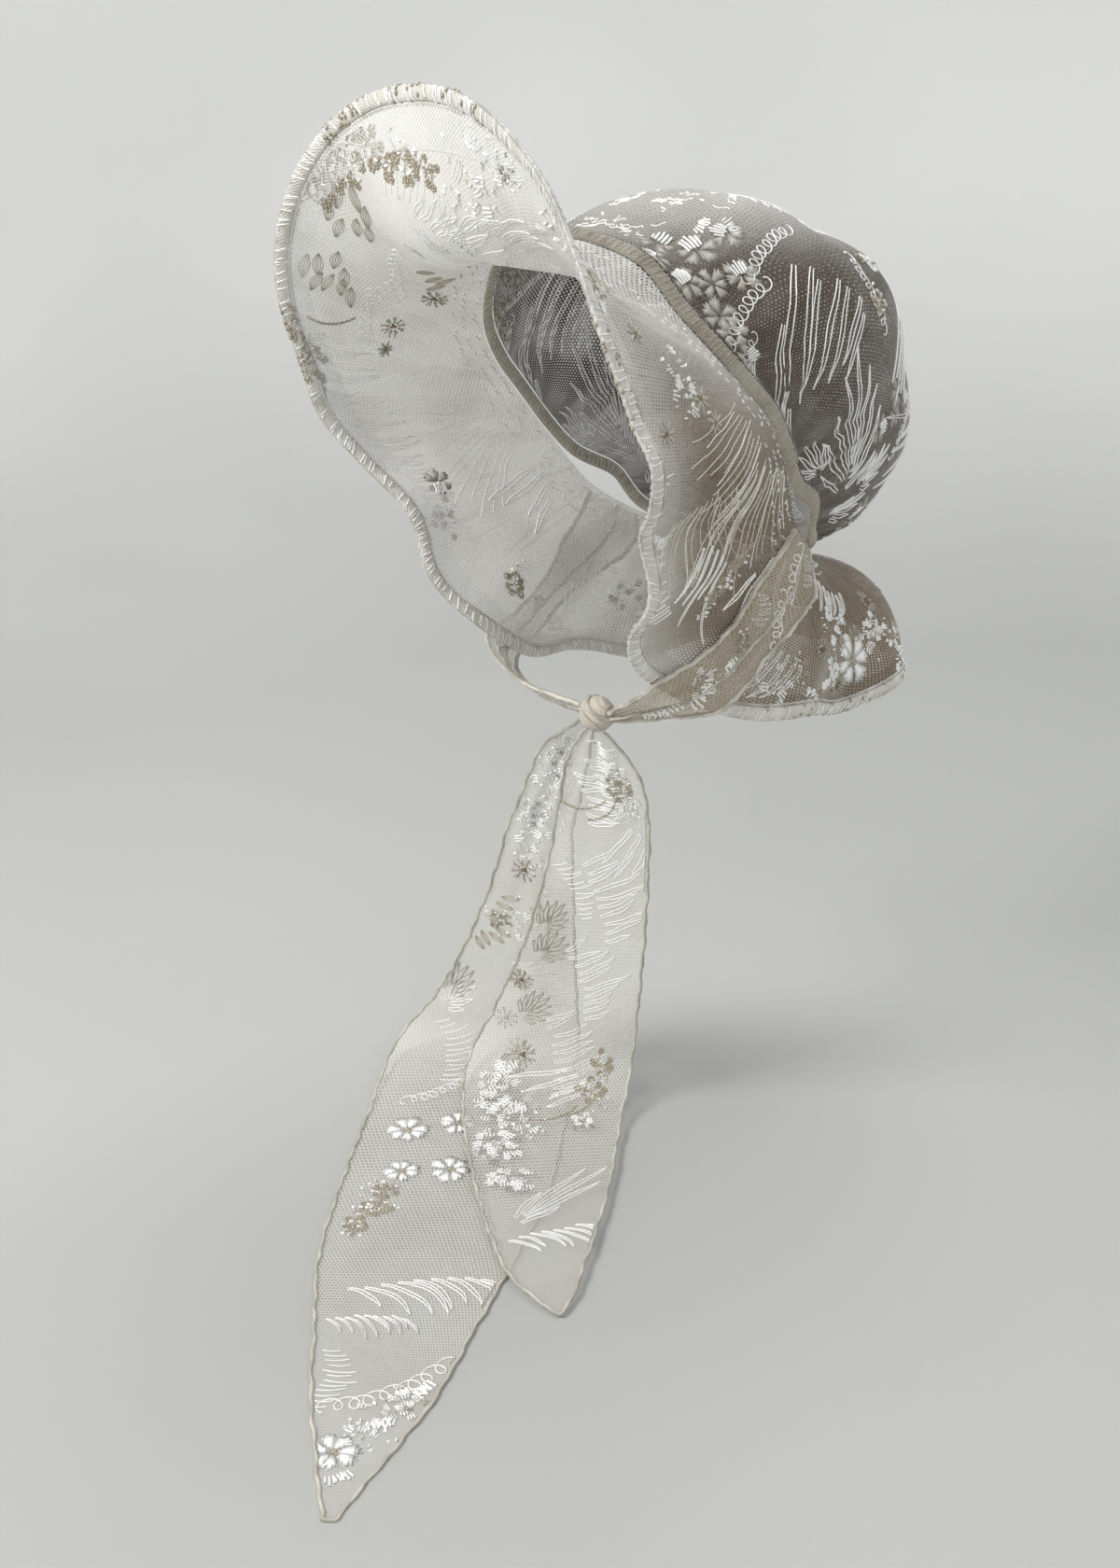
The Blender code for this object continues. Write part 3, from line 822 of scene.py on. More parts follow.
def joined(parts):
    points, faces, start = [], [], 0
    for part_points, part_faces in parts:
        points.append(part_points)
        faces.append(part_faces + start)
        start += len(part_points)
    return np.vstack(points), np.vstack(faces)


def whole(parts_of):
    """Makes a function that yields parts give them joined."""
    return lambda *sizes, **options: joined(parts_of(*sizes, **options))


def moved(part, x, y, degrees=0.0, size=1.0):
    points, faces = part
    turn = math.radians(degrees)
    points = points.copy()
    old_x, old_y = points[:, 0] * size, points[:, 1] * size
    points[:, 0] = x + old_x * math.cos(turn) - old_y * math.sin(turn)
    points[:, 1] = y + old_x * math.sin(turn) + old_y * math.cos(turn)
    return points, faces


def arc(length, bend, count=10):
    """A line along +x that turns by bend degrees on its way."""
    heading = math.radians(bend) * np.linspace(0, 1, count)[:-1]
    step = length / (count - 1)
    ways = np.column_stack([np.cos(heading), np.sin(heading)])
    return np.vstack([(0.0, 0.0), np.cumsum(step * ways, axis=0)])


def beside_line(line, distance):
    return line + np.reshape(distance, (-1, 1)) * directions(line)[1]


def petal(length, width):
    line = arc(length, 0.0, 6)
    swell = np.sin(math.pi * np.linspace(0.10, 0.98, 6)) ** 0.5
    return band(line, np.maximum(width * swell, 0.15))


@whole
def satin(length, width, rng):
    """A petal of thick threads side by side, with uneven ends."""
    count = max(int(round(width / 1.1)), 2)
    for index in range(count):
        share = index / (count - 1) - 0.5
        reach = length * (1 - 0.9 * share * share) * rng.uniform(0.75, 1.0)
        start = rng.uniform(0.0, 0.12) * length
        stitch = band(arc(reach - start, 8, 3), 1.05, 0.6)
        yield moved(stitch, start, width * share, 12 * share)


def pin(length, bend, rng, gap, thread=THREAD):
    """Two stitched lines that run side by side, a little unevenly, and meet at a tip."""
    line = arc(length, bend, 12)
    share = np.linspace(0, 1, 12)
    sway = 0.35 * np.sin(2 * math.pi * (1.4 * share + rng.uniform()))
    spread = 0.5 * gap * (0.55 + 0.45 * np.sin(math.pi * share)) * (1 - share**7)
    line = beside_line(line, sway)
    return joined([band(beside_line(line, way * spread), thread) for way in (-1, 1)])


# Half of a petal's outline, as shares of its length and width.
# Columns: along, beside.
NOTCHED_ROWS = (
    (0.08, 0.10),
    (0.40, 0.36),
    (0.70, 0.50),
    (0.86, 0.50),
    (0.80, 0.30),
    (1.00, 0.19),
    (0.87, 0.0),
)


def notched_petal(length, rng):
    """A flat satin petal that widens to an end with teeth."""
    half = np.array(NOTCHED_ROWS)
    rim = np.vstack([half, half[-2::-1] * (1, -1)]) * (length, 0.56 * length)
    rim[1:-1] += rng.uniform(-0.55, 0.55, (len(rim) - 2, 2))
    return domed(rim[::-1], (0.55 * length, 0.0), 0.55)


@whole
def flower(petals, wobble, make_petal, rng):
    """Petals round a middle, each turned by up to wobble degrees from its place."""
    for index in range(petals):
        turn = 360 * index / petals + rng.uniform(-wobble, wobble)
        yield moved(make_petal(), 0, 0, turn)


def star(petals, radius, width, rng):
    """A flower of pointed satin petals."""
    return flower(petals, 6, lambda: petal(radius * rng.uniform(0.8, 1.0), width), rng)


def notched_flower(petals, radius, rng):
    return flower(petals, 8, lambda: notched_petal(radius * rng.uniform(0.78, 1.0), rng), rng)


def ragged_star(petals, radius, width, rng):
    """A flower whose petals are separate threads, open at the middle."""

    def make_petal():
        return moved(satin(radius * rng.uniform(0.62, 0.78), width, rng), 0.22 * radius, 0)

    return flower(petals, 7, make_petal, rng)


@whole
def fern(barbs, stem, length, spread, rng):
    """Hairpins that leave a short stem on both sides and bend back to it."""
    for index in range(barbs):
        share = 2 * index / (barbs - 1) - 1
        reach = length * (1 - 0.55 * share * share) * rng.uniform(0.88, 1.04)
        start = stem * (1 - abs(share)) ** 0.8
        yield moved(pin(reach, -16 * share, rng, 2.3), start, 2.2 * share, spread * share)


@whole
def curtain(barbs, spacing, shortest, longest, rng):
    """Long hairpins side by side, each with its own length and start."""
    for index in range(barbs):
        share = index / (barbs - 1) - 0.5
        reach = rng.uniform(shortest, longest)
        start = rng.uniform(-14, 8)
        part = pin(reach, rng.uniform(-9, 9), rng, 2.0)
        yield moved(part, start, spacing * (index - 0.5 * (barbs - 1)), 20 * share)


@whole
def plume(strokes, length, spread, rng):
    """Fine single strokes that leave a slanting stem close together and part on the way."""
    for index in range(strokes):
        share = index / (strokes - 1) - 0.5
        reach = length * (1 - 0.5 * abs(share)) * rng.uniform(0.55, 1.05)
        line = arc(reach, 24 * share + rng.uniform(-8, 8), 12)
        phase = 1.7 * np.linspace(0, 1, 12) + rng.uniform()
        stroke = band(beside_line(line, 0.4 * np.sin(2 * math.pi * phase)), FINE_THREAD, 0.3)
        start = 12 * abs(share) + rng.uniform(-6, 6)
        yield moved(stroke, start, 42 * share, spread * share)


@whole
def comb(barbs, spacing, length, slope, bend, rng, single=False, thread=THIN_THREAD):
    """Curved barbs side by side along a stem that isn't stitched."""
    for index in range(barbs):
        share = index / (barbs - 1)
        swell = 0.55 + 0.45 * math.sin(math.pi * (0.12 + 0.76 * share))
        reach = length * swell * rng.uniform(0.7, 1.1)
        if single:
            part = band(arc(reach, bend), 0.62, 0.35)
        else:
            part = pin(reach, bend + rng.uniform(-9, 9), rng, 1.9, thread)
        stem_y = 3.5 * math.sin(math.pi * share) + rng.uniform(-1.5, 1.5)
        yield moved(part, spacing * index, stem_y, slope + rng.uniform(-6, 6))


@whole
def twigs(branches, length, rng):
    """Branching stems that end in tight bunches of thread knots."""
    stem = arc(1.6 * length, 40, 9)
    yield band(stem, 0.8)
    for index in range(branches):
        place = stem[2 + (index * 6) // branches]
        way = (1 if index % 2 else -1) * rng.uniform(38, 75)
        twig = arc(length * rng.uniform(0.35, 0.6), 20, 4)
        knots = [band(twig, 0.75)]
        end_x, end_y = twig[-1]
        for knot in range(7):
            turn = math.radians(60 * knot)
            reach = 1.7 if knot else 0.0
            spot = (end_x + reach * math.cos(turn), end_y + reach * math.sin(turn))
            knots.append(bead(*spot, rng.uniform(0.8, 1.15)))
        for share in np.linspace(0.25, 0.9, 4):
            x, y = twig[-1] * share
            knots.append(bead(x, y + rng.uniform(-1, 1), rng.uniform(0.6, 0.9)))
        yield moved(joined(knots), *place, way)


@whole
def strewn(count, wide, high, make_part, turns, rng):
    """Parts scattered in an oval, each turned by an angle between two limits."""
    for _ in range(count):
        x, y = rng.normal(0, 0.5 * wide), rng.normal(0, 0.5 * high)
        yield moved(make_part(), x, y, rng.uniform(*turns))


def glints(count, wide, high, rng):
    """Single bright stitches scattered in an oval."""

    def glint():
        return band(arc(rng.uniform(1.2, 2.6), 10, 3), 0.8, 1.1)

    return strewn(count, wide, high, glint, (0, 180), rng)


def squiggles(count, wide, high, rng):
    """Fine wavy threads scattered in an oval."""

    def squiggle():
        line = arc(rng.uniform(4.0, 8.0), rng.uniform(-70, 70), 9)
        wave = 0.9 * np.sin(np.linspace(0, 2 * math.pi, 9) + rng.uniform(0, 6))
        return band(beside_line(line, wave), 0.5, 0.4)

    return strewn(count, wide, high, squiggle, (-50, 50), rng)


def cord_line(length, bend):
    """A stitched rope: knots in a close row."""
    line = arc(length, bend, max(int(length / 1.3), 4))
    return joined([bead(x, y, 0.85, 0.7) for x, y in line])


def coil(count, pitch, radius, bend):
    """One thread that runs in loops along a bending line."""
    per_loop = 12
    total = count * per_loop
    line = arc(pitch * count, bend, total + 1)
    angles = 2 * math.pi * np.arange(total + 1) / per_loop
    ahead, side = directions(line)
    swing = radius * (1 + 0.15 * np.sin(0.7 * angles))
    back, down = swing * np.sin(angles), swing * np.cos(angles)
    return band(line - back[:, None] * ahead - down[:, None] * side, 0.62, 0.4)


@whole
def hatched_leaves(count, length, width, rng):
    """Long leaves filled with fine lines of thread, with bare net between them."""
    for index in range(count):
        share = index / max(count - 1, 1) - 0.5
        stem = arc(length * rng.uniform(0.75, 1.0), 10)
        swell = width * np.sin(math.pi * np.linspace(0.04, 0.96, len(stem)))
        lines = [beside_line(stem, swell * place) for place in (-0.5, -0.25, 0.0, 0.25, 0.5)]
        fill = [band(line, FINE_THREAD, 0.3) for line in lines]
        beside = share * width * count * 0.9 + rng.uniform(-1.2, 1.2)
        along = rng.uniform(-5, 5)
        yield moved(joined(fill), along, beside, 16 * share + rng.uniform(-14, 14))


def spiral(count):
    """Places spread evenly over a round of radius 1, as a radius and a turn."""
    for index in range(count):
        yield math.sqrt((index + 0.5) / count), math.radians(GOLDEN_ANGLE * index)


@whole
def lace_patch(count, wide, high, rng):
    """Short satin petals laid every way, close together, in an oval."""
    for reach, turn in spiral(count):
        x = wide * reach * math.cos(turn) + rng.uniform(-1, 1)
        y = high * reach * math.sin(turn) + rng.uniform(-1, 1)
        yield moved(satin(rng.uniform(4.5, 7.5), 3.2, rng), x, y, rng.uniform(0, 360))


def satin_rows(rng):
    """Three short satin patches, one beside the other."""
    places = (-3.2, 0.0, 3.2)
    return joined([moved(satin(6.5, 3.4, rng), 0, y, rng.uniform(-30, 30)) for y in places])


def rosette(rng):
    """A pale flower, in most places with a white patch raised over it."""
    points, faces = moved(satin(8.5, 5.5, rng), 0, 0, rng.uniform(0, 360))
    threads = {"pale": notched_flower(6, 10.0, rng)}
    if rng.uniform() >= 0.45:
        threads["white"] = (points + (0, 0, 0.5), faces)
    return threads


EYE = joined([bead(0, 0, 1.5), bead(1.1, 1.0, 1.0), bead(-0.9, 1.2, 0.9), bead(0.2, -1.3, 0.9)])
DARK_EYE = joined([bead(0, 0, 2.0), bead(1.6, 0.6, 1.3)])

# The parts of each motif, by thread
MOTIFS = {
    "grey_flower": lambda rng: {"greige": ragged_star(9, 10.0, 2.6, rng), "brown": EYE},
    "white_flower": lambda rng: {
        "white": notched_flower(7, 12.0, rng),
        "taupe": moved(EYE, 0, 0, 0, 1.3),
    },
    "rosette": rosette,
    "satin": lambda rng: {"white": satin_rows(rng)},
    "brown_eye": lambda rng: {"brown": DARK_EYE, "pale": star(8, 7.0, 2.2, rng)},
    "berries": lambda rng: {
        "taupe": twigs(7, 13.0, rng),
        "white": moved(glints(14, 14.0, 9.0, rng), 9.0, 2.0),
    },
    "white_berries": lambda rng: {
        "white": twigs(6, 11.0, rng),
        "taupe": moved(glints(16, 12.0, 8.0, rng), 8.0, 2.0),
    },
    "rope": lambda rng: {"taupe": cord_line(24.0, 70.0)},
    "leaves": lambda rng: {"stone": hatched_leaves(4, 14.0, 5.0, rng)},
    "fern": lambda rng: {"white": fern(9, 18.0, 46.0, 52.0, rng)},
    "small_fern": lambda rng: {"white": fern(7, 7.0, 22.0, 52.0, rng)},
    "grey_fern": lambda rng: {"greige": fern(9, 7.0, 20.0, 60.0, rng)},
    "fan": lambda rng: {"white": fern(5, 8.0, 56.0, 20.0, rng)},
    "long_pin": lambda rng: {"white": pin(76.0, 26.0, rng, 3.6)},
    "pin": lambda rng: {"white": pin(52.0, 14.0, rng, 2.8)},
    "short_pin": lambda rng: {"white": pin(32.0, 8.0, rng, 2.4)},
    "cream_plume": lambda rng: {
        "cream": plume(13, 66.0, 44.0, rng),
        "white": plume(4, 60.0, 40.0, rng),
    },
    "plume": lambda rng: {"white": plume(15, 70.0, 52.0, rng)},
    "curtain": lambda rng: {"white": curtain(5, 7.2, 34.0, 74.0, rng)},
    "short_curtain": lambda rng: {"white": curtain(4, 5.4, 18.0, 36.0, rng)},
    "feather": lambda rng: {"white": comb(10, 4.2, 24.0, 62.0, -46.0, rng)},
    "comb": lambda rng: {"white": comb(9, 5.2, 40.0, 70.0, 36.0, rng)},
    "slant_comb": lambda rng: {"white": comb(10, 5.2, 34.0, 104.0, 22.0, rng, thread=FINE_THREAD)},
    "sweep": lambda rng: {"white": comb(9, 7.6, 36.0, -20.0, -66.0, rng)},
    "short_comb": lambda rng: {"white": comb(7, 4.8, 21.0, 68.0, 34.0, rng)},
    "fine_comb": lambda rng: {"white": comb(12, 3.4, 16.0, 80.0, 30.0, rng, single=True)},
    "coil": lambda rng: {"white": coil(9, 4.4, 2.6, 30.0)},
    "wide_coil": lambda rng: {"white": coil(9, 6.4, 3.6, 46.0)},
    "squiggles": lambda rng: {"white": squiggles(15, 17.0, 11.0, rng)},
    "lace_patch": lambda rng: {
        "white": lace_patch(19, 13.0, 10.0, rng),
        "pale": lace_patch(7, 15.0, 12.0, rng),
    },
    "sparkle": lambda rng: {
        "white": joined([lace_patch(6, 14.0, 12.0, rng), glints(24, 18.0, 15.0, rng)]),
    },
}


def scattered(rows):
    """Motif rows spread over ovals. Each row has a motif, the middle's u and v, the oval's
    half sizes in u and v, a count and a size."""
    spread = []
    for kind, u, v, wide, high, count, size in rows:
        for index, (reach, turn) in enumerate(spiral(count)):
            place = (u + wide * reach * math.cos(turn), v + high * reach * math.sin(turn))
            uneven = 0.85 + 0.3 * ((index * 5) % 7) / 6
            spread.append((kind, *place, 67.0 * index, size * uneven))
    return tuple(spread)


def embroider(name, cloth, rows, slot, mirrored=False):
    """One piece for each thread, from rows of motif, u, v, turn in degrees and size."""
    rng = np.random.default_rng(SEED)
    gathered = {}
    for kind, u, v, turn, size in rows:
        copies = [(u, v, turn, 1.0)]
        if mirrored:
            copies.append((1.0 - u, v, 180.0 - turn, -1.0))
        for place_u, place_v, heading, flip in copies:
            for thread, (points, faces) in MOTIFS[kind](rng).items():
                points, faces = moved((points * (1.0, flip, 1.0), faces), 0, 0, heading, size)
                places = np.broadcast_to((place_u, place_v), (len(points), 2))
                gathered.setdefault(thread, []).append((np.hstack([points, places]), faces))
    made = []
    for thread, parts in gathered.items():
        points, faces = joined(parts)
        u, v = cloth.kept(points[:, 3], points[:, 4])
        laid = cloth.lay(u, v, points[:, :3])
        made.append(new_object(f"{name}_{thread}", laid, faces, THREADS[thread], slot))
    return made


# Where the motifs are. Columns: motif, u, v, turn in degrees (0 is along u, 90 is
# from the seam to the rim), size.
BRIM_NEAR_ROWS = (
    ("leaves", 0.108, 0.80, 200, 1.0),
    ("leaves", 0.092, 0.58, 240, 0.9),
    ("white_berries", 0.114, 0.84, 20, 0.8),
    ("sparkle", 0.085, 0.72, 0, 1.0),
    ("sparkle", 0.150, 0.60, 0, 0.9),
    ("brown_eye", 0.111, 0.88, 0, 0.8),
    ("brown_eye", 0.131, 0.73, 0, 1.0),
    ("brown_eye", 0.177, 0.83, 40, 1.0),
    ("brown_eye", 0.158, 0.52, 80, 1.0),
    ("brown_eye", 0.171, 0.50, 10, 0.9),
    ("cream_plume", 0.178, 0.22, 40, 0.95),
    ("cream_plume", 0.208, 0.18, 8, 1.0),
    ("cream_plume", 0.215, 0.62, -16, 0.8),
    ("fine_comb", 0.196, 0.86, -10, 1.2),
    ("fine_comb", 0.236, 0.84, -10, 1.2),
    ("curtain", 0.262, 0.60, 30, 0.7),
    ("satin", 0.235, 0.88, 30, 0.9),
    ("berries", 0.288, 0.46, 200, 0.9),
    ("berries", 0.300, 0.62, 220, 0.8),
    ("white_flower", 0.413, 0.72, 0, 1.3),
    ("grey_flower", 0.440, 0.46, 0, 0.9),
    ("grey_flower", 0.385, 0.62, 0, 0.8),
    ("lace_patch", 0.428, 0.62, 0, 0.8),
    ("grey_flower", 0.405, 0.84, 0, 0.9),
    ("lace_patch", 0.398, 0.74, 30, 0.6),
    ("leaves", 0.412, 0.56, 70, 0.8),
    ("satin", 0.392, 0.80, 60, 0.9),
    ("berries", 0.366, 0.62, 40, 0.7),
    ("sparkle", 0.360, 0.80, 0, 0.9),
    ("sparkle", 0.398, 0.50, 60, 1.0),
    ("sparkle", 0.440, 0.78, 60, 1.0),
    ("white_berries", 0.375, 0.86, 0, 0.8),
    ("comb", 0.335, 0.44, 20, 0.8),
    ("short_comb", 0.385, 0.16, 20, 0.9),
    ("short_curtain", 0.318, 0.30, 70, 1.2),
    ("leaves", 0.455, 0.72, 120, 0.9),
    ("lace_patch", 0.474, 0.60, 0, 0.8),
    ("small_fern", 0.480, 0.20, 90, 1.0),
)
BRIM_FAR_ROWS = (
    ("berries", 0.914, 0.97, -20, 1.1),
    ("berries", 0.930, 0.96, -36, 1.1),
    ("berries", 0.948, 0.93, -30, 1.2),
    ("white_berries", 0.944, 0.91, -30, 0.9),
    ("berries", 0.966, 0.90, -60, 1.1),
    ("berries", 0.984, 0.87, -60, 1.0),
    ("berries", 0.998, 0.82, -50, 0.8),
    ("leaves", 0.936, 0.81, 215, 1.1),
    ("leaves", 0.924, 0.74, 205, 1.0),
    ("leaves", 0.900, 0.77, 190, 1.0),
    ("leaves", 0.888, 0.72, 180, 0.9),
    ("berries", 0.852, 0.90, 190, 0.8),
    ("berries", 0.838, 0.90, 170, 0.7),
    ("rope", 0.860, 0.88, 250, 1.0),
    ("fine_comb", 0.968, 0.72, -30, 1.2),
    ("short_comb", 0.988, 0.62, -50, 1.0),
    ("short_comb", 0.004, 0.58, -70, 1.0),
    ("feather", 0.020, 0.56, -20, 0.8),
    ("comb", 0.852, 0.84, 186, 0.8),
    ("comb", 0.815, 0.82, 184, 0.8),
    ("short_comb", 0.780, 0.80, 180, 1.0),
    ("satin", 0.983, 0.50, 70, 1.1),
    ("satin", 0.990, 0.42, 60, 1.0),
    ("satin", 0.955, 0.44, 60, 0.9),
    ("satin", 0.008, 0.44, 20, 0.9),
    ("sparkle", 0.046, 0.84, 0, 1.0),
    ("sparkle", 0.034, 0.72, 0, 1.0),
    ("white_berries", 0.056, 0.82, 20, 0.8),
    ("coil", 0.930, 0.50, 200, 1.1),
    ("coil", 0.905, 0.46, 170, 1.1),
    ("coil", 0.890, 0.56, 190, 1.0),
    ("grey_flower", 0.868, 0.48, 0, 0.8),
    ("grey_flower", 0.905, 0.26, 0, 0.9),
    ("leaves", 0.930, 0.24, 160, 0.8),
    ("brown_eye", 0.850, 0.56, 0, 0.7),
    ("rosette", 0.765, 0.72, 0, 0.9),
    ("lace_patch", 0.745, 0.80, 0, 0.7),
    ("plume", 0.800, 0.20, 120, 0.8),
    ("short_curtain", 0.740, 0.24, 110, 1.1),
    ("feather", 0.660, 0.76, 160, 0.8),
    ("berries", 0.700, 0.60, 120, 0.8),
    ("white_flower", 0.590, 0.72, 0, 1.1),
    ("grey_flower", 0.560, 0.50, 0, 0.9),
    ("lace_patch", 0.610, 0.60, 60, 0.8),
    ("leaves", 0.545, 0.74, 60, 0.9),
    ("small_fern", 0.520, 0.24, 90, 0.9),
    ("squiggles", 0.625, 0.44, 0, 1.1),
    ("sparkle", 0.530, 0.52, 0, 0.9),
    ("short_comb", 0.645, 0.34, 60, 1.0),
    ("berries", 0.575, 0.30, 60, 0.8),
)
CROWN_MOTIFS = (
    ("satin", 0.049, 0.27, 20, 0.9),
    ("satin", 0.062, 0.30, 80, 0.9),
    ("coil", 0.080, 0.42, -92, 1.1),
    ("coil", 0.100, 0.27, -86, 1.1),
    ("coil", 0.120, 0.13, -60, 0.8),
    ("long_pin", 0.101, 0.35, -52, 1.0),
    ("long_pin", 0.108, 0.38, -52, 0.86),
    ("pin", 0.116, 0.37, -50, 1.0),
    ("pin", 0.122, 0.42, -56, 1.05),
    ("pin", 0.129, 0.43, -54, 0.9),
    ("pin", 0.124, 0.22, -42, 0.9),
    ("short_pin", 0.138, 0.45, -58, 1.1),
    ("short_pin", 0.148, 0.43, -54, 1.0),
    ("short_pin", 0.133, 0.05, -36, 0.8),
    ("pin", 0.126, 0.10, -38, 0.8),
    ("short_pin", 0.160, 0.09, -28, 1.1),
    ("short_pin", 0.172, 0.07, -18, 1.0),
    ("fern", 0.294, 0.16, 176, 1.15),
    ("small_fern", 0.250, 0.11, 208, 0.9),
    ("small_fern", 0.300, 0.24, 118, 0.9),
    ("small_fern", 0.330, 0.12, 100, 0.8),
    ("squiggles", 0.012, 0.20, 0, 1.0),
    ("squiggles", 0.020, 0.34, 0, 1.0),
    ("squiggles", 0.045, 0.42, 30, 1.1),
    ("squiggles", 0.060, 0.54, 60, 1.0),
    ("squiggles", 0.026, 0.48, 0, 1.0),
    ("coil", 0.112, 0.54, -20, 1.0),
    ("berries", 0.135, 0.52, 0, 0.8),
    ("white_berries", 0.120, 0.60, 60, 0.9),
    ("small_fern", 0.180, 0.62, 60, 1.2),
    ("curtain", 0.230, 0.52, 130, 0.7),
    ("coil", 0.270, 0.60, -80, 0.9),
    ("curtain", 0.360, 0.62, 250, 0.8),
    ("curtain", 0.320, 0.66, 245, 0.8),
    ("fern", 0.425, 0.10, 90, 1.0),
    ("coil", 0.440, 0.50, -60, 0.9),
    ("small_fern", 0.480, 0.46, 90, 1.2),
    ("short_comb", 0.330, 0.76, 0, 0.8),
    ("small_fern", 0.060, 0.66, 80, 1.0),
    ("small_fern", 0.400, 0.72, 90, 0.9),
    ("small_fern", 0.220, 0.80, 90, 0.9),
    ("squiggles", 0.460, 0.80, 20, 1.1),
    ("squiggles", 0.350, 0.90, 0, 1.0),
    ("coil", 0.485, 0.66, 90, 1.0),
)
CROWN_SCATTER = (
    ("rosette", 0.073, 0.16, 0.038, 0.15, 8, 1.1),
    ("rosette", 0.120, 0.05, 0.014, 0.04, 2, 0.9),
    ("rosette", 0.245, 0.46, 0.026, 0.11, 4, 0.9),
    ("rosette", 0.385, 0.30, 0.034, 0.15, 6, 0.95),
    ("rosette", 0.130, 0.80, 0.060, 0.05, 4, 0.9),
    ("brown_eye", 0.460, 0.24, 0.020, 0.10, 3, 0.80),
)
SHORT_TAIL_MOTIFS = (
    ("short_comb", 0.045, 0.30, 0, 0.6),
    ("short_comb", 0.110, 0.24, 0, 1.0),
    ("short_comb", 0.150, 0.12, 0, 1.0),
    ("white_berries", 0.175, 0.74, 180, 0.8),
    ("berries", 0.215, 0.86, 200, 0.8),
    ("sparkle", 0.225, 0.84, 0, 0.7),
    ("rope", 0.212, 0.06, 60, 1.1),
    ("rope", 0.240, 0.36, 92, 1.1),
    ("short_curtain", 0.245, 0.92, -40, 1.0),
    ("short_curtain", 0.280, 0.92, -36, 1.0),
    ("slant_comb", 0.300, 0.36, 0, 1.0),
    ("slant_comb", 0.390, 0.38, 0, 0.95),
    ("slant_comb", 0.475, 0.40, 0, 0.95),
    ("grey_fern", 0.365, 0.12, 130, 0.9),
    ("grey_fern", 0.395, 0.16, 120, 0.9),
    ("grey_fern", 0.470, 0.22, 120, 0.9),
    ("fine_comb", 0.300, 0.08, 10, 0.9),
    ("grey_flower", 0.425, 0.10, 0, 0.9),
    ("grey_flower", 0.525, 0.33, 0, 1.0),
    ("lace_patch", 0.560, 0.22, 0, 1.0),
    ("lace_patch", 0.600, 0.22, 60, 1.1),
    ("lace_patch", 0.645, 0.20, 20, 1.1),
    ("lace_patch", 0.685, 0.26, 70, 0.9),
    ("sparkle", 0.620, 0.34, 0, 1.0),
    ("short_curtain", 0.560, 0.72, -70, 1.0),
    ("berries", 0.565, 0.88, 190, 0.8),
    ("berries", 0.600, 0.86, 200, 0.9),
    ("white_berries", 0.630, 0.80, 190, 0.7),
    ("rope", 0.617, 0.42, 80, 1.2),
    ("rope", 0.612, 0.64, 100, 1.0),
    ("fan", 0.740, 0.26, 126, 1.0),
    ("sweep", 0.770, 0.14, 94, 0.75),
)
LONG_TAIL_MOTIFS = (
    ("sparkle", 0.060, 0.40, 0, 0.6),
    ("lace_patch", 0.095, 0.50, 10, 0.6),
    ("sparkle", 0.120, 0.50, 10, 0.8),
    ("sparkle", 0.155, 0.50, 20, 1.0),
    ("lace_patch", 0.185, 0.30, 20, 0.6),
    ("sparkle", 0.215, 0.45, 20, 1.0),
    ("sparkle", 0.250, 0.40, 20, 0.9),
    ("grey_flower", 0.271, 0.37, 0, 1.0),
    ("leaves", 0.310, 0.10, 60, 0.9),
    ("berries", 0.320, 0.06, 60, 0.7),
    ("leaves", 0.338, 0.14, 20, 0.8),
    ("sparkle", 0.330, 0.45, 0, 0.9),
    ("grey_fern", 0.420, 0.08, 130, 1.0),
    ("small_fern", 0.445, 0.14, 130, 1.0),
    ("comb", 0.380, 0.50, 0, 0.7),
    ("grey_flower", 0.407, 0.60, 0, 1.0),
    ("grey_flower", 0.465, 0.57, 0, 1.0),
    ("grey_flower", 0.509, 0.68, 0, 1.0),
    ("fine_comb", 0.470, 0.16, 10, 1.1),
    ("wide_coil", 0.556, 0.16, 104, 0.9),
    ("lace_patch", 0.560, 0.72, 112, 1.0),
    ("white_flower", 0.584, 0.23, 0, 1.15),
    ("white_flower", 0.578, 0.47, 20, 1.0),
    ("white_flower", 0.622, 0.27, 10, 1.0),
    ("white_flower", 0.622, 0.50, 30, 1.15),
    ("white_flower", 0.606, 0.66, 30, 0.9),
    ("berries", 0.640, 0.12, 80, 0.8),
    ("berries", 0.662, 0.10, 100, 0.9),
    ("berries", 0.690, 0.14, 170, 0.8),
    ("sweep", 0.745, 0.18, 97, 1.0),
    ("sweep", 0.776, 0.07, 92, 0.55),
    ("fine_comb", 0.810, 0.08, 0, 0.9),
    ("wide_coil", 0.872, 0.10, 102, 1.0),
    ("satin", 0.846, 0.82, 60, 1.2),
    ("lace_patch", 0.862, 0.76, 0, 0.7),
    ("satin", 0.880, 0.66, 20, 1.2),
    ("sparkle", 0.890, 0.50, 0, 0.8),
    ("white_flower", 0.914, 0.25, 0, 1.0),
    ("satin", 0.938, 0.34, 20, 0.9),
)
TIE_MOTIFS = (
    ("coil", 0.06, 0.46, -5, 1.15),
    ("coil", 0.27, 0.46, -5, 1.15),
    ("short_comb", 0.08, 0.62, 20, 0.5),
    ("short_comb", 0.30, 0.02, 20, 0.5),
    ("satin", 0.56, 0.46, 70, 1.1),
    ("satin", 0.70, 0.50, 80, 1.3),
    ("satin", 0.82, 0.50, 80, 1.4),
    ("satin", 0.86, 0.62, 60, 1.2),
    ("berries", 0.42, 0.22, 0, 0.5),
    ("sparkle", 0.66, 0.45, 20, 0.6),
)


# The cloths

RIGHT_TIE_STRETCH = 1.15
TIE_HEM_RADIUS = 1.2
FOLD_HEM_RADIUS = 0.96
TAIL_HEM_RADIUS = 0.85


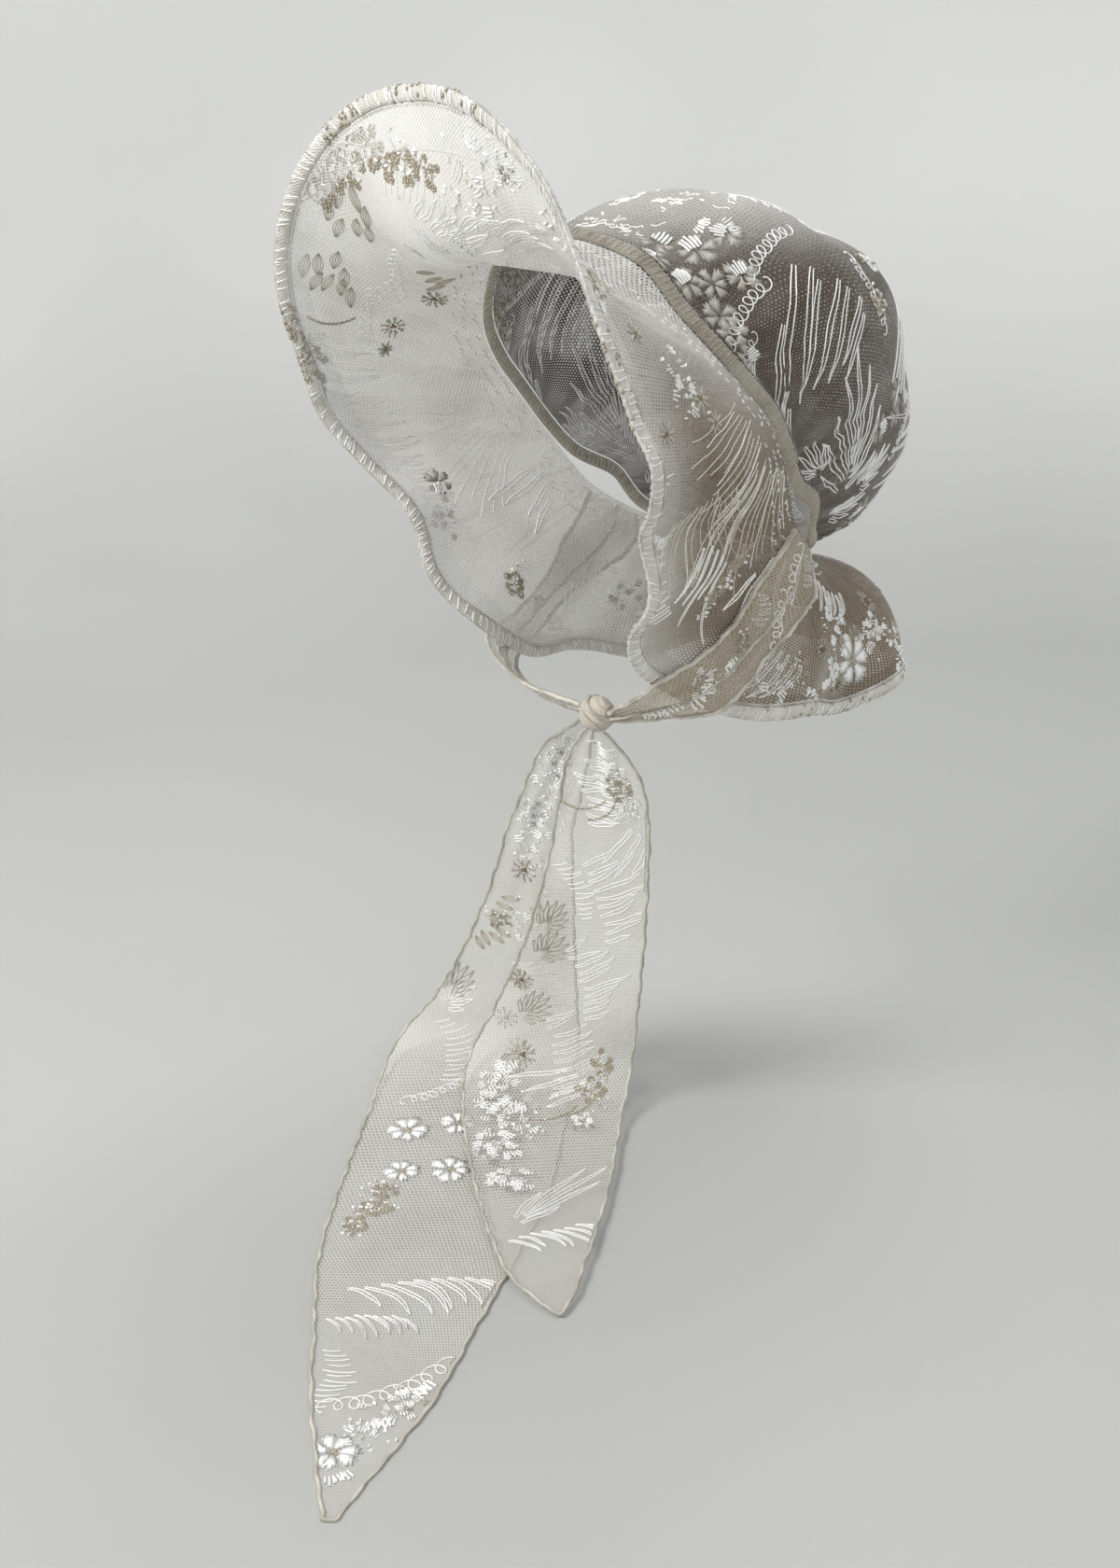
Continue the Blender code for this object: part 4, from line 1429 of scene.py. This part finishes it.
def rim_frame(turns):
    """Points on the rim, the way the cloth runs there, and its face."""
    ones = np.ones(len(turns))
    rim = brim_at(turns, ones)
    section = unit(rim - brim_at(turns, 0.98 * ones))
    step = 1 / 96
    along = unit(brim_at(turns + step, ones) - brim_at(turns - step, ones))
    face = unit(np.cross(section, along))
    return rim, np.cross(along, face), face


def edge_share(turns):
    """The share of the brim's depth at which the cloth meets the roll at its edge."""
    count, step = 481, 0.03
    lattice = np.arange(count) / (count - 1)
    _, run, _ = rim_frame(lattice)
    last = brim_at(lattice, np.full(count, 1.0)) - brim_at(lattice, np.full(count, 1.0 - step))
    last = last / step
    shares = 1 - (EDGE_WIDTH + 0.1) / np.sum(last * run, axis=1)
    return np.interp(np.mod(turns, 1.0), lattice, shares)


def brim_sheet_at(u, v):
    return brim_at(u, edge_share(u) * v)


def facing_at(u, v):
    """The white strip inside the rim, which is widest at the wearer's cheeks."""
    section = section_number(u)
    inner = 0.86 - 0.03 * hump(section, 2.5) - 0.04 * hump(section - 8.0, 3.0)
    return brim_at(u, inner + (edge_share(u) - inner) * v)


def crown_flat(u, v):
    reach = CROWN_RADIUS * (1 - v)
    return reach * np.cos(2 * math.pi * u), reach * np.sin(2 * math.pi * u)


def strip_flat(length, width):
    return lambda u, v: (length * u, width * v)


def strip_cloth(at, length, width, hem):
    """A strip whose embroidery keeps clear of its hems by this share of its width."""
    return Cloth(at, strip_flat(length, width), hem, 1 - hem)


BRIM_FLAT = strip_flat(BRIM_LENGTH, BRIM_DEPTH)
BRIM = Cloth(brim_at, BRIM_FLAT, 0.01, 0.93, around=True)
BRIM_SHEET = Cloth(brim_sheet_at, BRIM_FLAT, around=True)
FACING_STRIP = Cloth(facing_at, strip_flat(BRIM_LENGTH, 0.09 * BRIM_DEPTH), around=True)
CROWN = Cloth(crown_at, crown_flat, 0.01, 0.93, around=True)
TIE_LEFT = strip_cloth(tie_surface(1, LEFT_THROAT_ROWS), TIE_LENGTH, TIE_WIDTH, 0.04)
TIE_RIGHT = strip_cloth(
    tie_surface(-1, RIGHT_THROAT_ROWS), TIE_LENGTH * RIGHT_TIE_STRETCH, TIE_WIDTH, 0.04
)
SHORT_TAIL = strip_cloth(
    tail_surface(SHORT_TAIL_ROWS, (0.12, 0.12, 1.2, 2.5)), SHORT_TAIL_LENGTH, SHORT_TAIL_WIDTH, 0.03
)
LONG_TAIL = strip_cloth(
    tail_surface(LONG_TAIL_ROWS, (0.18, 0.12, 1.2, 2.5)), LONG_TAIL_LENGTH, LONG_TAIL_WIDTH, 0.03
)

# How finely the pieces are made: steps along and across a sheet, and rings and
# corners of a tube
BRIM_STEPS = (480, 36)
FACING_STEPS = (480, 8)
CROWN_STEPS = (416, 60)
TIE_STEPS = (120, 24)
TAIL_STEPS = (300, 40)
ROLL_RINGS, ROLL_CORNERS = 720, 12
BAND_RINGS, BAND_CORNERS = 576, 10
HEM_RINGS = 460
CORD_CORNERS = 8
CORD_TURNS = 2 * math.pi * np.arange(CORD_CORNERS)[None, :] / CORD_CORNERS

# Stitches round the hat, and the share of their places that is left out
WHIP_STITCHES, WHIP_SKIPPED = 520, 0.35
SEAM_STITCHES, SEAM_SKIPPED = 190, 0.3
BAND_STITCHES = 330

# Gathers round the hat, large and small, and how thick each casing is beside its solid
ROLL_GATHERS, ROLL_FULLNESS = (150, 61), 0.9
BAND_GATHERS, BAND_FULLNESS = (120, 43), 0.88
ROPE_TWISTS = 240


def waves(turns, count, start=0.0):
    return np.sin(2 * math.pi * count * turns + start)


def roll_spot(rim, run, face, angle):
    """Places at these angles on the roll round the rim, and the way out of it there."""
    along = np.cos(angle)[:, None] * run
    up = np.sin(angle)[:, None] * face
    spot = rim - 0.5 * EDGE_WIDTH * run + 0.5 * EDGE_WIDTH * along + 0.5 * EDGE_THICKNESS * up
    return spot, unit(along + 1.6 * up)


def make_brim():
    brim = cloth_object("brim_cloth", BRIM_SHEET, BRIM_STEPS, LACE, "lace")
    facing = cloth_object("brim_facing", FACING_STRIP, FACING_STEPS, FACING, "lace", offset=0.5)
    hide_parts("brim")
    turns = np.arange(ROLL_RINGS) / ROLL_RINGS
    rim, run, face = rim_frame(turns)
    gathers = 1 + 0.08 * waves(turns, ROLL_GATHERS[0]) + 0.05 * waves(turns, ROLL_GATHERS[1], 1)
    thick = (0.5 * EDGE_THICKNESS * gathers * ROLL_FULLNESS)[:, None]
    middle = rim - 0.5 * EDGE_WIDTH * run
    rings = tube_points(middle, run, face, 0.5 * EDGE_WIDTH, thick, ROLL_CORNERS)
    casing = tube_object("brim_casing", rings, True, CASING, "edge")
    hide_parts("brim_edge")
    twist = 1 + 0.18 * np.sin(2 * math.pi * ROPE_TWISTS * turns[:, None] + CORD_TURNS)
    ropes = []
    for name, back, radius in (("brim_rope", 1.1, 1.1), ("brim_cord", EDGE_WIDTH + 0.9, 0.6)):
        wave = radius * twist
        rings = tube_points(rim - back * run, run, face, wave, wave, CORD_CORNERS)
        ropes.append(tube_object(name, rings, True, ROPE, "edge"))
    stitching = embroider("brim_near", BRIM, BRIM_NEAR_ROWS, "lace")
    stitching += embroider("brim_far", BRIM, BRIM_FAR_ROWS, "lace")
    stitching += [make_whip_stitches(), make_seam_stitches(), make_roll_knots()]
    return brim, facing, ropes, stitching


def thread_strips(name, lines, faces_out, width, material, slot):
    """Raised threads along lines in space; faces_out has the way out at each line's points."""
    parts = []
    for line, out in zip(lines, faces_out):
        side = 0.5 * width * unit(np.cross(np.gradient(line, axis=0), out))
        ring = np.stack([line + side, line + 0.45 * out, line - side, line - 0.2 * out], 1)
        parts.append((ring.reshape(-1, 3), quads(len(line), 4, columns_wrap=True)))
    return new_object(name, *joined(parts), material, slot)


def make_whip_stitches():
    """Slanted stitches over the rim's casing, at an uneven pitch."""
    rng = np.random.default_rng(SEED)
    lines, faces_out = [], []
    for index in range(WHIP_STITCHES):
        if rng.uniform() < WHIP_SKIPPED:
            continue
        share = np.linspace(rng.uniform(0.08, 0.3), rng.uniform(0.6, 0.9), 5)
        start = (index + rng.uniform(-0.4, 0.4)) / WHIP_STITCHES
        rim, run, face = rim_frame(start + rng.uniform(0.001, 0.005) * share)
        for way in (-1, 1):
            line, out = roll_spot(rim, run, way * face, math.pi * share)
            lines.append(line)
            faces_out.append(out)
    return thread_strips("brim_whip_stitches", lines, faces_out, 0.7, THREADS["white"], "edge")


# Where embroidery crosses the roll. Columns: patch, first turn, last turn, knots.
ROLL_ROWS = (
    ("far_clusters", 0.826, 0.862, 90),
    ("top_clusters", 0.940, 0.972, 60),
    ("front_sprinkle", 0.985, 1.060, 50),
    ("cheek_clusters", 0.135, 0.175, 40),
    ("nape_clusters", 0.360, 0.470, 80),
)


def make_roll_knots():
    """Taupe knots of thread where the embroidery of the net runs over the roll."""
    rng = np.random.default_rng(SEED + 2)
    parts = []
    for _, first, last, count in ROLL_ROWS:
        turns = rng.uniform(first, last, count)
        angle = rng.uniform(-math.pi, math.pi, count)
        rim, run, face = rim_frame(turns)
        spots, out = roll_spot(rim, run, face, angle)
        ahead = unit(np.cross(out, run + 0.3 * face))
        ways = np.stack([ahead, np.cross(out, ahead), out], 1)
        for spot, spot_ways in zip(spots, ways):
            points, faces = bead(0, 0, rng.uniform(0.9, 1.4), 0.7)
            parts.append((spot + points @ spot_ways, faces))
    return new_object("brim_roll_knots", *joined(parts), THREADS["taupe"], "edge")


def make_seam_stitches():
    """Rows of short stitches along the brim's seam with the crown."""
    rng = np.random.default_rng(SEED + 1)
    lines, faces_out = [], []
    for across in (0.035, 0.10, 0.16):
        for index in range(SEAM_STITCHES):
            if rng.uniform() < SEAM_SKIPPED:
                continue
            turns = (index + rng.uniform(-0.2, 0.2)) / SEAM_STITCHES + np.linspace(0, 0.0030, 4)
            places = across + np.linspace(0, rng.uniform(-0.02, 0.02), 4)
            line = brim_at(turns, places)
            face = BRIM.frame(turns, places)[2]
            for way in (-1, 1):
                lines.append(line + way * 0.15 * face)
                faces_out.append(way * face)
    return thread_strips("brim_seam_stitches", lines, faces_out, 0.9, THREADS["white"], "lace")


def make_band_gathers():
    """Short threads across the crown's casing, where its gathers are caught."""
    rng = np.random.default_rng(SEED + 3)
    lines, faces_out = [], []
    for index in range(BAND_STITCHES):
        places = np.linspace(rng.uniform(-0.46, -0.30), rng.uniform(0.25, 0.46), 5)
        turns = (index + rng.uniform(-0.35, 0.35)) / BAND_STITCHES + 0.0012 * places
        line, sideways, face = band_frame(turns)
        rise = 0.5 * BAND_THICKNESS * np.sqrt(np.clip(1 - (2 * places) ** 2, 0.0, 1.0))[:, None]
        steepness = (1.02 - 2 * np.abs(places))[:, None]
        for way in (-1, 1):
            lines.append(line + BAND_WIDTH * places[:, None] * sideways + way * rise * face)
            faces_out.append(unit(way * face * steepness + 2 * places[:, None] * sideways))
    return thread_strips("crown_band_gathers", lines, faces_out, 0.5, THREADS["stone"], "edge")


def make_crown():
    crown = cloth_object("crown_cloth", CROWN, CROWN_STEPS, CROWN_LACE, "lace", top=0.998)
    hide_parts("crown")
    turns = np.arange(BAND_RINGS) / BAND_RINGS
    line, sideways, face = band_frame(turns)
    gathers = 1 + 0.14 * waves(turns, BAND_GATHERS[0]) + 0.08 * waves(turns, BAND_GATHERS[1], 2)
    thick = (0.5 * BAND_THICKNESS * gathers * BAND_FULLNESS)[:, None]
    rings = tube_points(line, sideways, face, 0.5 * BAND_WIDTH, thick, BAND_CORNERS)
    casing = tube_object("crown_casing", rings, True, BAND, "edge")
    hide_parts("crown_band")
    rows = CROWN_MOTIFS + scattered(CROWN_SCATTER)
    stitching = embroider("crown_stitch", CROWN, rows, "lace", mirrored=True)
    return crown, stitching + [make_band_gathers()]


def hem_tube(name, cloth, radius, u, v):
    """A rolled hem through these places on the cloth, a little uneven along its way."""
    centres = cloth.at(u, v)
    centres[:, 2] = np.maximum(centres[:, 2], TABLE + radius + 0.2)
    for axis in range(3):
        centres[:, axis] = np.convolve(np.pad(centres[:, axis], 2, "edge"), np.ones(5) / 5, "valid")
    ahead = unit(np.gradient(centres, axis=0))
    upright = unit(np.cross(ahead, cloth.frame(np.clip(u, 0.01, 0.99), v)[2]))
    other = np.cross(ahead, upright)
    length = np.linalg.norm(np.diff(centres, axis=0), axis=1)
    place = np.concatenate([[0], np.cumsum(length)])[:, None]
    centres = centres + (0.3 * np.sin(place / 2.3) + 0.25 * np.sin(place / 5.1 + 1)) * upright
    wave = 1 + 0.12 * np.sin(place / 0.9 + CORD_TURNS) + 0.10 * np.sin(place / 3.7)
    rings = tube_points(centres, upright, other, radius * wave, radius * wave, CORD_CORNERS)
    return tube_object(name, rings, False, HEM, "scarf")


def make_tie(name, cloth, material):
    """A sheet, with rolled hems on its long edges and on a fold in its middle."""
    sheet = cloth_object(f"{name}_cloth", cloth, TIE_STEPS, material, "scarf")
    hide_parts(name)
    u = np.linspace(0.0, 1.0, HEM_RINGS)
    hems = []
    for edge, place, radius in (
        ("a", 0.0, TIE_HEM_RADIUS),
        ("b", 1.0, TIE_HEM_RADIUS),
        ("fold", 0.58, FOLD_HEM_RADIUS),
    ):
        hems.append(hem_tube(f"{name}_hem_{edge}", cloth, radius, u, np.full(HEM_RINGS, place)))
    return sheet, hems, embroider(f"{name}_stitch", cloth, TIE_MOTIFS, "scarf")


def make_tail(name, cloth, rows):
    """A sheet, with one rolled hem down its long edges and round its tip."""
    sheet = cloth_object(f"{name}_cloth", cloth, TAIL_STEPS, SCARF, "scarf")
    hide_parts(name)
    down = np.linspace(0.0, 1.0, HEM_RINGS)
    across = np.linspace(0.0, 1.0, 5)
    u = np.concatenate([down, np.ones(len(across)), down[::-1]])
    v = np.concatenate([np.zeros(HEM_RINGS), across, np.ones(HEM_RINGS)])
    hem = hem_tube(f"{name}_hem_roll", cloth, TAIL_HEM_RADIUS, u, v)
    return sheet, [hem], embroider(f"{name}_stitch", cloth, rows, "scarf")


def make_knot():
    """The scarf wound twice round itself, with its pleats."""
    rings, corners = 72, 120
    polar = np.linspace(0.0, math.pi, rings)[:, None]
    around = (2 * math.pi * np.arange(corners) / corners)[None, :]
    x = np.sin(polar) * np.cos(around)
    y = np.sin(polar) * np.sin(around)
    z = np.cos(polar) * np.ones_like(around)
    slant = 0.75 * z + 0.55 * x
    wraps = 0.84 + 0.14 * np.abs(np.cos(2.6 * slant + 0.3)) ** 0.6
    pleats = 0.022 * np.sin(30 * slant + 3 * np.sin(2 * around))
    shape = (wraps + pleats)[..., None] * np.stack([x, y, z], -1) * KNOT_RADII * 1.03
    points = (KNOT_CENTRE + shape).reshape(-1, 3)
    faces = quads(rings, corners, columns_wrap=True)[:, (0, 3, 2, 1)]
    knot = new_object("knot_wraps", points, faces, KNOT_CLOTH, "scarf")
    add_flat_map(knot, points[corner_vertices(knot)][:, (0, 2)] * MM)
    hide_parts("knot")
    turn = np.arange(120) * 2 * math.pi / 120
    for index, (level, tilt) in enumerate(((0.45, 0.0), (-0.30, 0.35), (-0.62, -0.2))):
        axis = unit(np.array((0.55, tilt, 0.75)))
        first = unit(np.cross(axis, (0.0, 1.0, 0.2)))
        second = np.cross(axis, first)
        circle = np.cos(turn)[:, None] * first + np.sin(turn)[:, None] * second
        out = unit(level * axis + math.sqrt(1 - level * level) * circle)
        centres = KNOT_CENTRE + 0.95 * out * KNOT_RADII
        ahead = unit(np.roll(centres, -1, axis=0) - np.roll(centres, 1, axis=0))
        wave = 0.95 * (1 + 0.12 * np.sin(9 * turn[:, None] + CORD_TURNS))
        tube = tube_points(centres, out, np.cross(ahead, out), wave, wave, CORD_CORNERS)
        tube_object(f"knot_hem_{index + 1}", tube, True, HEM, "scarf")


# Stage, light and camera

# The backdrop's section in metres. Columns: radius, height.
SWEEP_ROWS = (
    (0.0, 0.0),
    (0.9, 0.0),
    (1.4, 0.06),
    (1.9, 0.25),
    (2.3, 0.65),
    (2.5, 1.3),
    (2.6, 2.6),
)
SWEEP_CORNERS = 96


def make_stage():
    """A round sweep: a floor that curves up into a wall all round, pale on the wall and painted
    darker on the floor as shade.
    """
    turn = 2 * math.pi * np.arange(SWEEP_CORNERS) / SWEEP_CORNERS
    circle = np.column_stack([np.cos(turn), np.sin(turn)])
    rings = [
        np.column_stack([radius * circle, np.full(SWEEP_CORNERS, TABLE * MM + height)])
        for radius, height in SWEEP_ROWS
    ]
    mesh = bpy.data.meshes.new("sweep")
    faces = quads(len(SWEEP_ROWS), SWEEP_CORNERS, columns_wrap=True)
    mesh.from_pydata(np.vstack(rings).tolist(), [], faces.tolist())
    material, tree, shader = base_material("sweep_paint", 0.9, 0.0)
    place = space_place(tree)
    # Painted shade: the paint is dark on the floor round the hat and turns pale up the wall, so the
    # floor looks dimmer than the light falling on it makes it. A soft noise lays blotches of
    # lighter and darker paint over it.
    soft = scaled(tree, noise(tree, place, 1.2, 2.0), 0.3, 0.7, -0.08, 0.08)
    reach = tree.nodes.new("ShaderNodeVectorMath")
    reach.operation = "LENGTH"
    link(tree, place, reach.inputs[0])
    share = maths(tree, "ADD", scaled(tree, reach.outputs["Value"], 0.8, 2.5, 0.0, 1.0), soft)
    colour = mixed(tree, share, (0.43, 0.435, 0.42), (0.76, 0.765, 0.75))
    link(tree, colour, shader.inputs["Base Color"])
    mesh.materials.append(material)
    mesh.shade_smooth()
    sweep = bpy.data.objects.new("sweep", mesh)
    bpy.context.collection.objects.link(sweep)
    smooth = sweep.modifiers.new("smooth", "SUBSURF")
    smooth.levels = 2
    smooth.render_levels = 2


# Columns: light, x, y, z, size, watts, red, green, blue.
LIGHT_ROWS = (
    ("key", -0.45, -1.55, 1.10, 0.8, 30.0, 1.0, 0.985, 0.965),
    ("fill", 1.60, -0.60, 1.00, 1.4, 6.0, 0.97, 0.98, 1.0),
    ("top", -0.20, 0.70, 1.80, 1.2, 14.0, 1.0, 1.0, 1.0),
)
LIGHT_TARGET = np.array((0.0, 0.0, -0.1))


def make_lights():
    for name, x, y, z, size, watts, red, green, blue in LIGHT_ROWS:
        light = bpy.data.lights.new(name, "AREA")
        light.shape = "DISK"
        light.size = size
        light.energy = watts
        light.color = (red, green, blue)
        thing = bpy.data.objects.new(name, light)
        thing.location = (x, y, z)
        away_x, away_y, away_z = LIGHT_TARGET - (x, y, z)
        tip = math.atan2(math.hypot(away_x, away_y), -away_z)
        thing.rotation_euler = (tip, 0.0, math.atan2(-away_x, away_y))
        bpy.context.collection.objects.link(thing)
    world = bpy.data.worlds.new("soft_sky")
    world.use_nodes = True
    sky = world.node_tree.nodes["Background"]
    sky.inputs["Color"].default_value = (0.98, 0.99, 1.0, 1.0)
    sky.inputs["Strength"].default_value = 0.60
    bpy.context.scene.world = world
    bpy.context.scene.view_settings.view_transform = "Standard"


def make_camera():
    data = bpy.data.cameras.new("camera")
    data.sensor_width = 36.0
    data.lens = 36.43
    camera = bpy.data.objects.new("camera", data)
    camera.location = (0.55055, -0.54384, 0.09820)
    camera.rotation_euler = (math.radians(70.0), 0.0, math.radians(48.0))
    bpy.context.collection.objects.link(camera)
    bpy.context.scene.camera = camera


make_camera()
make_lights()
make_stage()
brim, facing, ropes, brim_stitching = make_brim()
crown, crown_stitching = make_crown()
tie_left, tie_left_hems, tie_left_stitching = make_tie("tie_left", TIE_LEFT, TIE_CLOTH)
tie_right, tie_right_hems, tie_right_stitching = make_tie("tie_right", TIE_RIGHT, SCARF)
tail_short, short_hems, short_stitching = make_tail("tail_short", SHORT_TAIL, SHORT_TAIL_MOTIFS)
tail_long, long_hems, long_stitching = make_tail("tail_long", LONG_TAIL, LONG_TAIL_MOTIFS)
make_knot()

# Columns: sheet, flat size in metres, how it is held, what it rests on, its trim.
SHEETS = (
    (brim, (0.94, 0.13), "stretched", ["brim_casing", "crown_casing"], brim_stitching),
    (facing, (1.12, 0.016), "stretched", ["brim_cloth"], ropes),
    (crown, (0.344, 0.344), "gathered", ["crown_casing"], crown_stitching),
    (tie_left, (0.155, 0.030), "folded", ["brim_cloth"], tie_left_hems + tie_left_stitching),
    (tie_right, (0.180, 0.030), "folded", ["brim_cloth"], tie_right_hems + tie_right_stitching),
    (tail_short, (0.43, 0.084), "hung", ["knot_wraps"], short_hems + short_stitching),
    (tail_long, (0.585, 0.092), "hung", ["knot_wraps"], long_hems + long_stitching),
)
for sheet, flat, held, rests_on, trim in SHEETS:
    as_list(rests_on)
    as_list(trim)
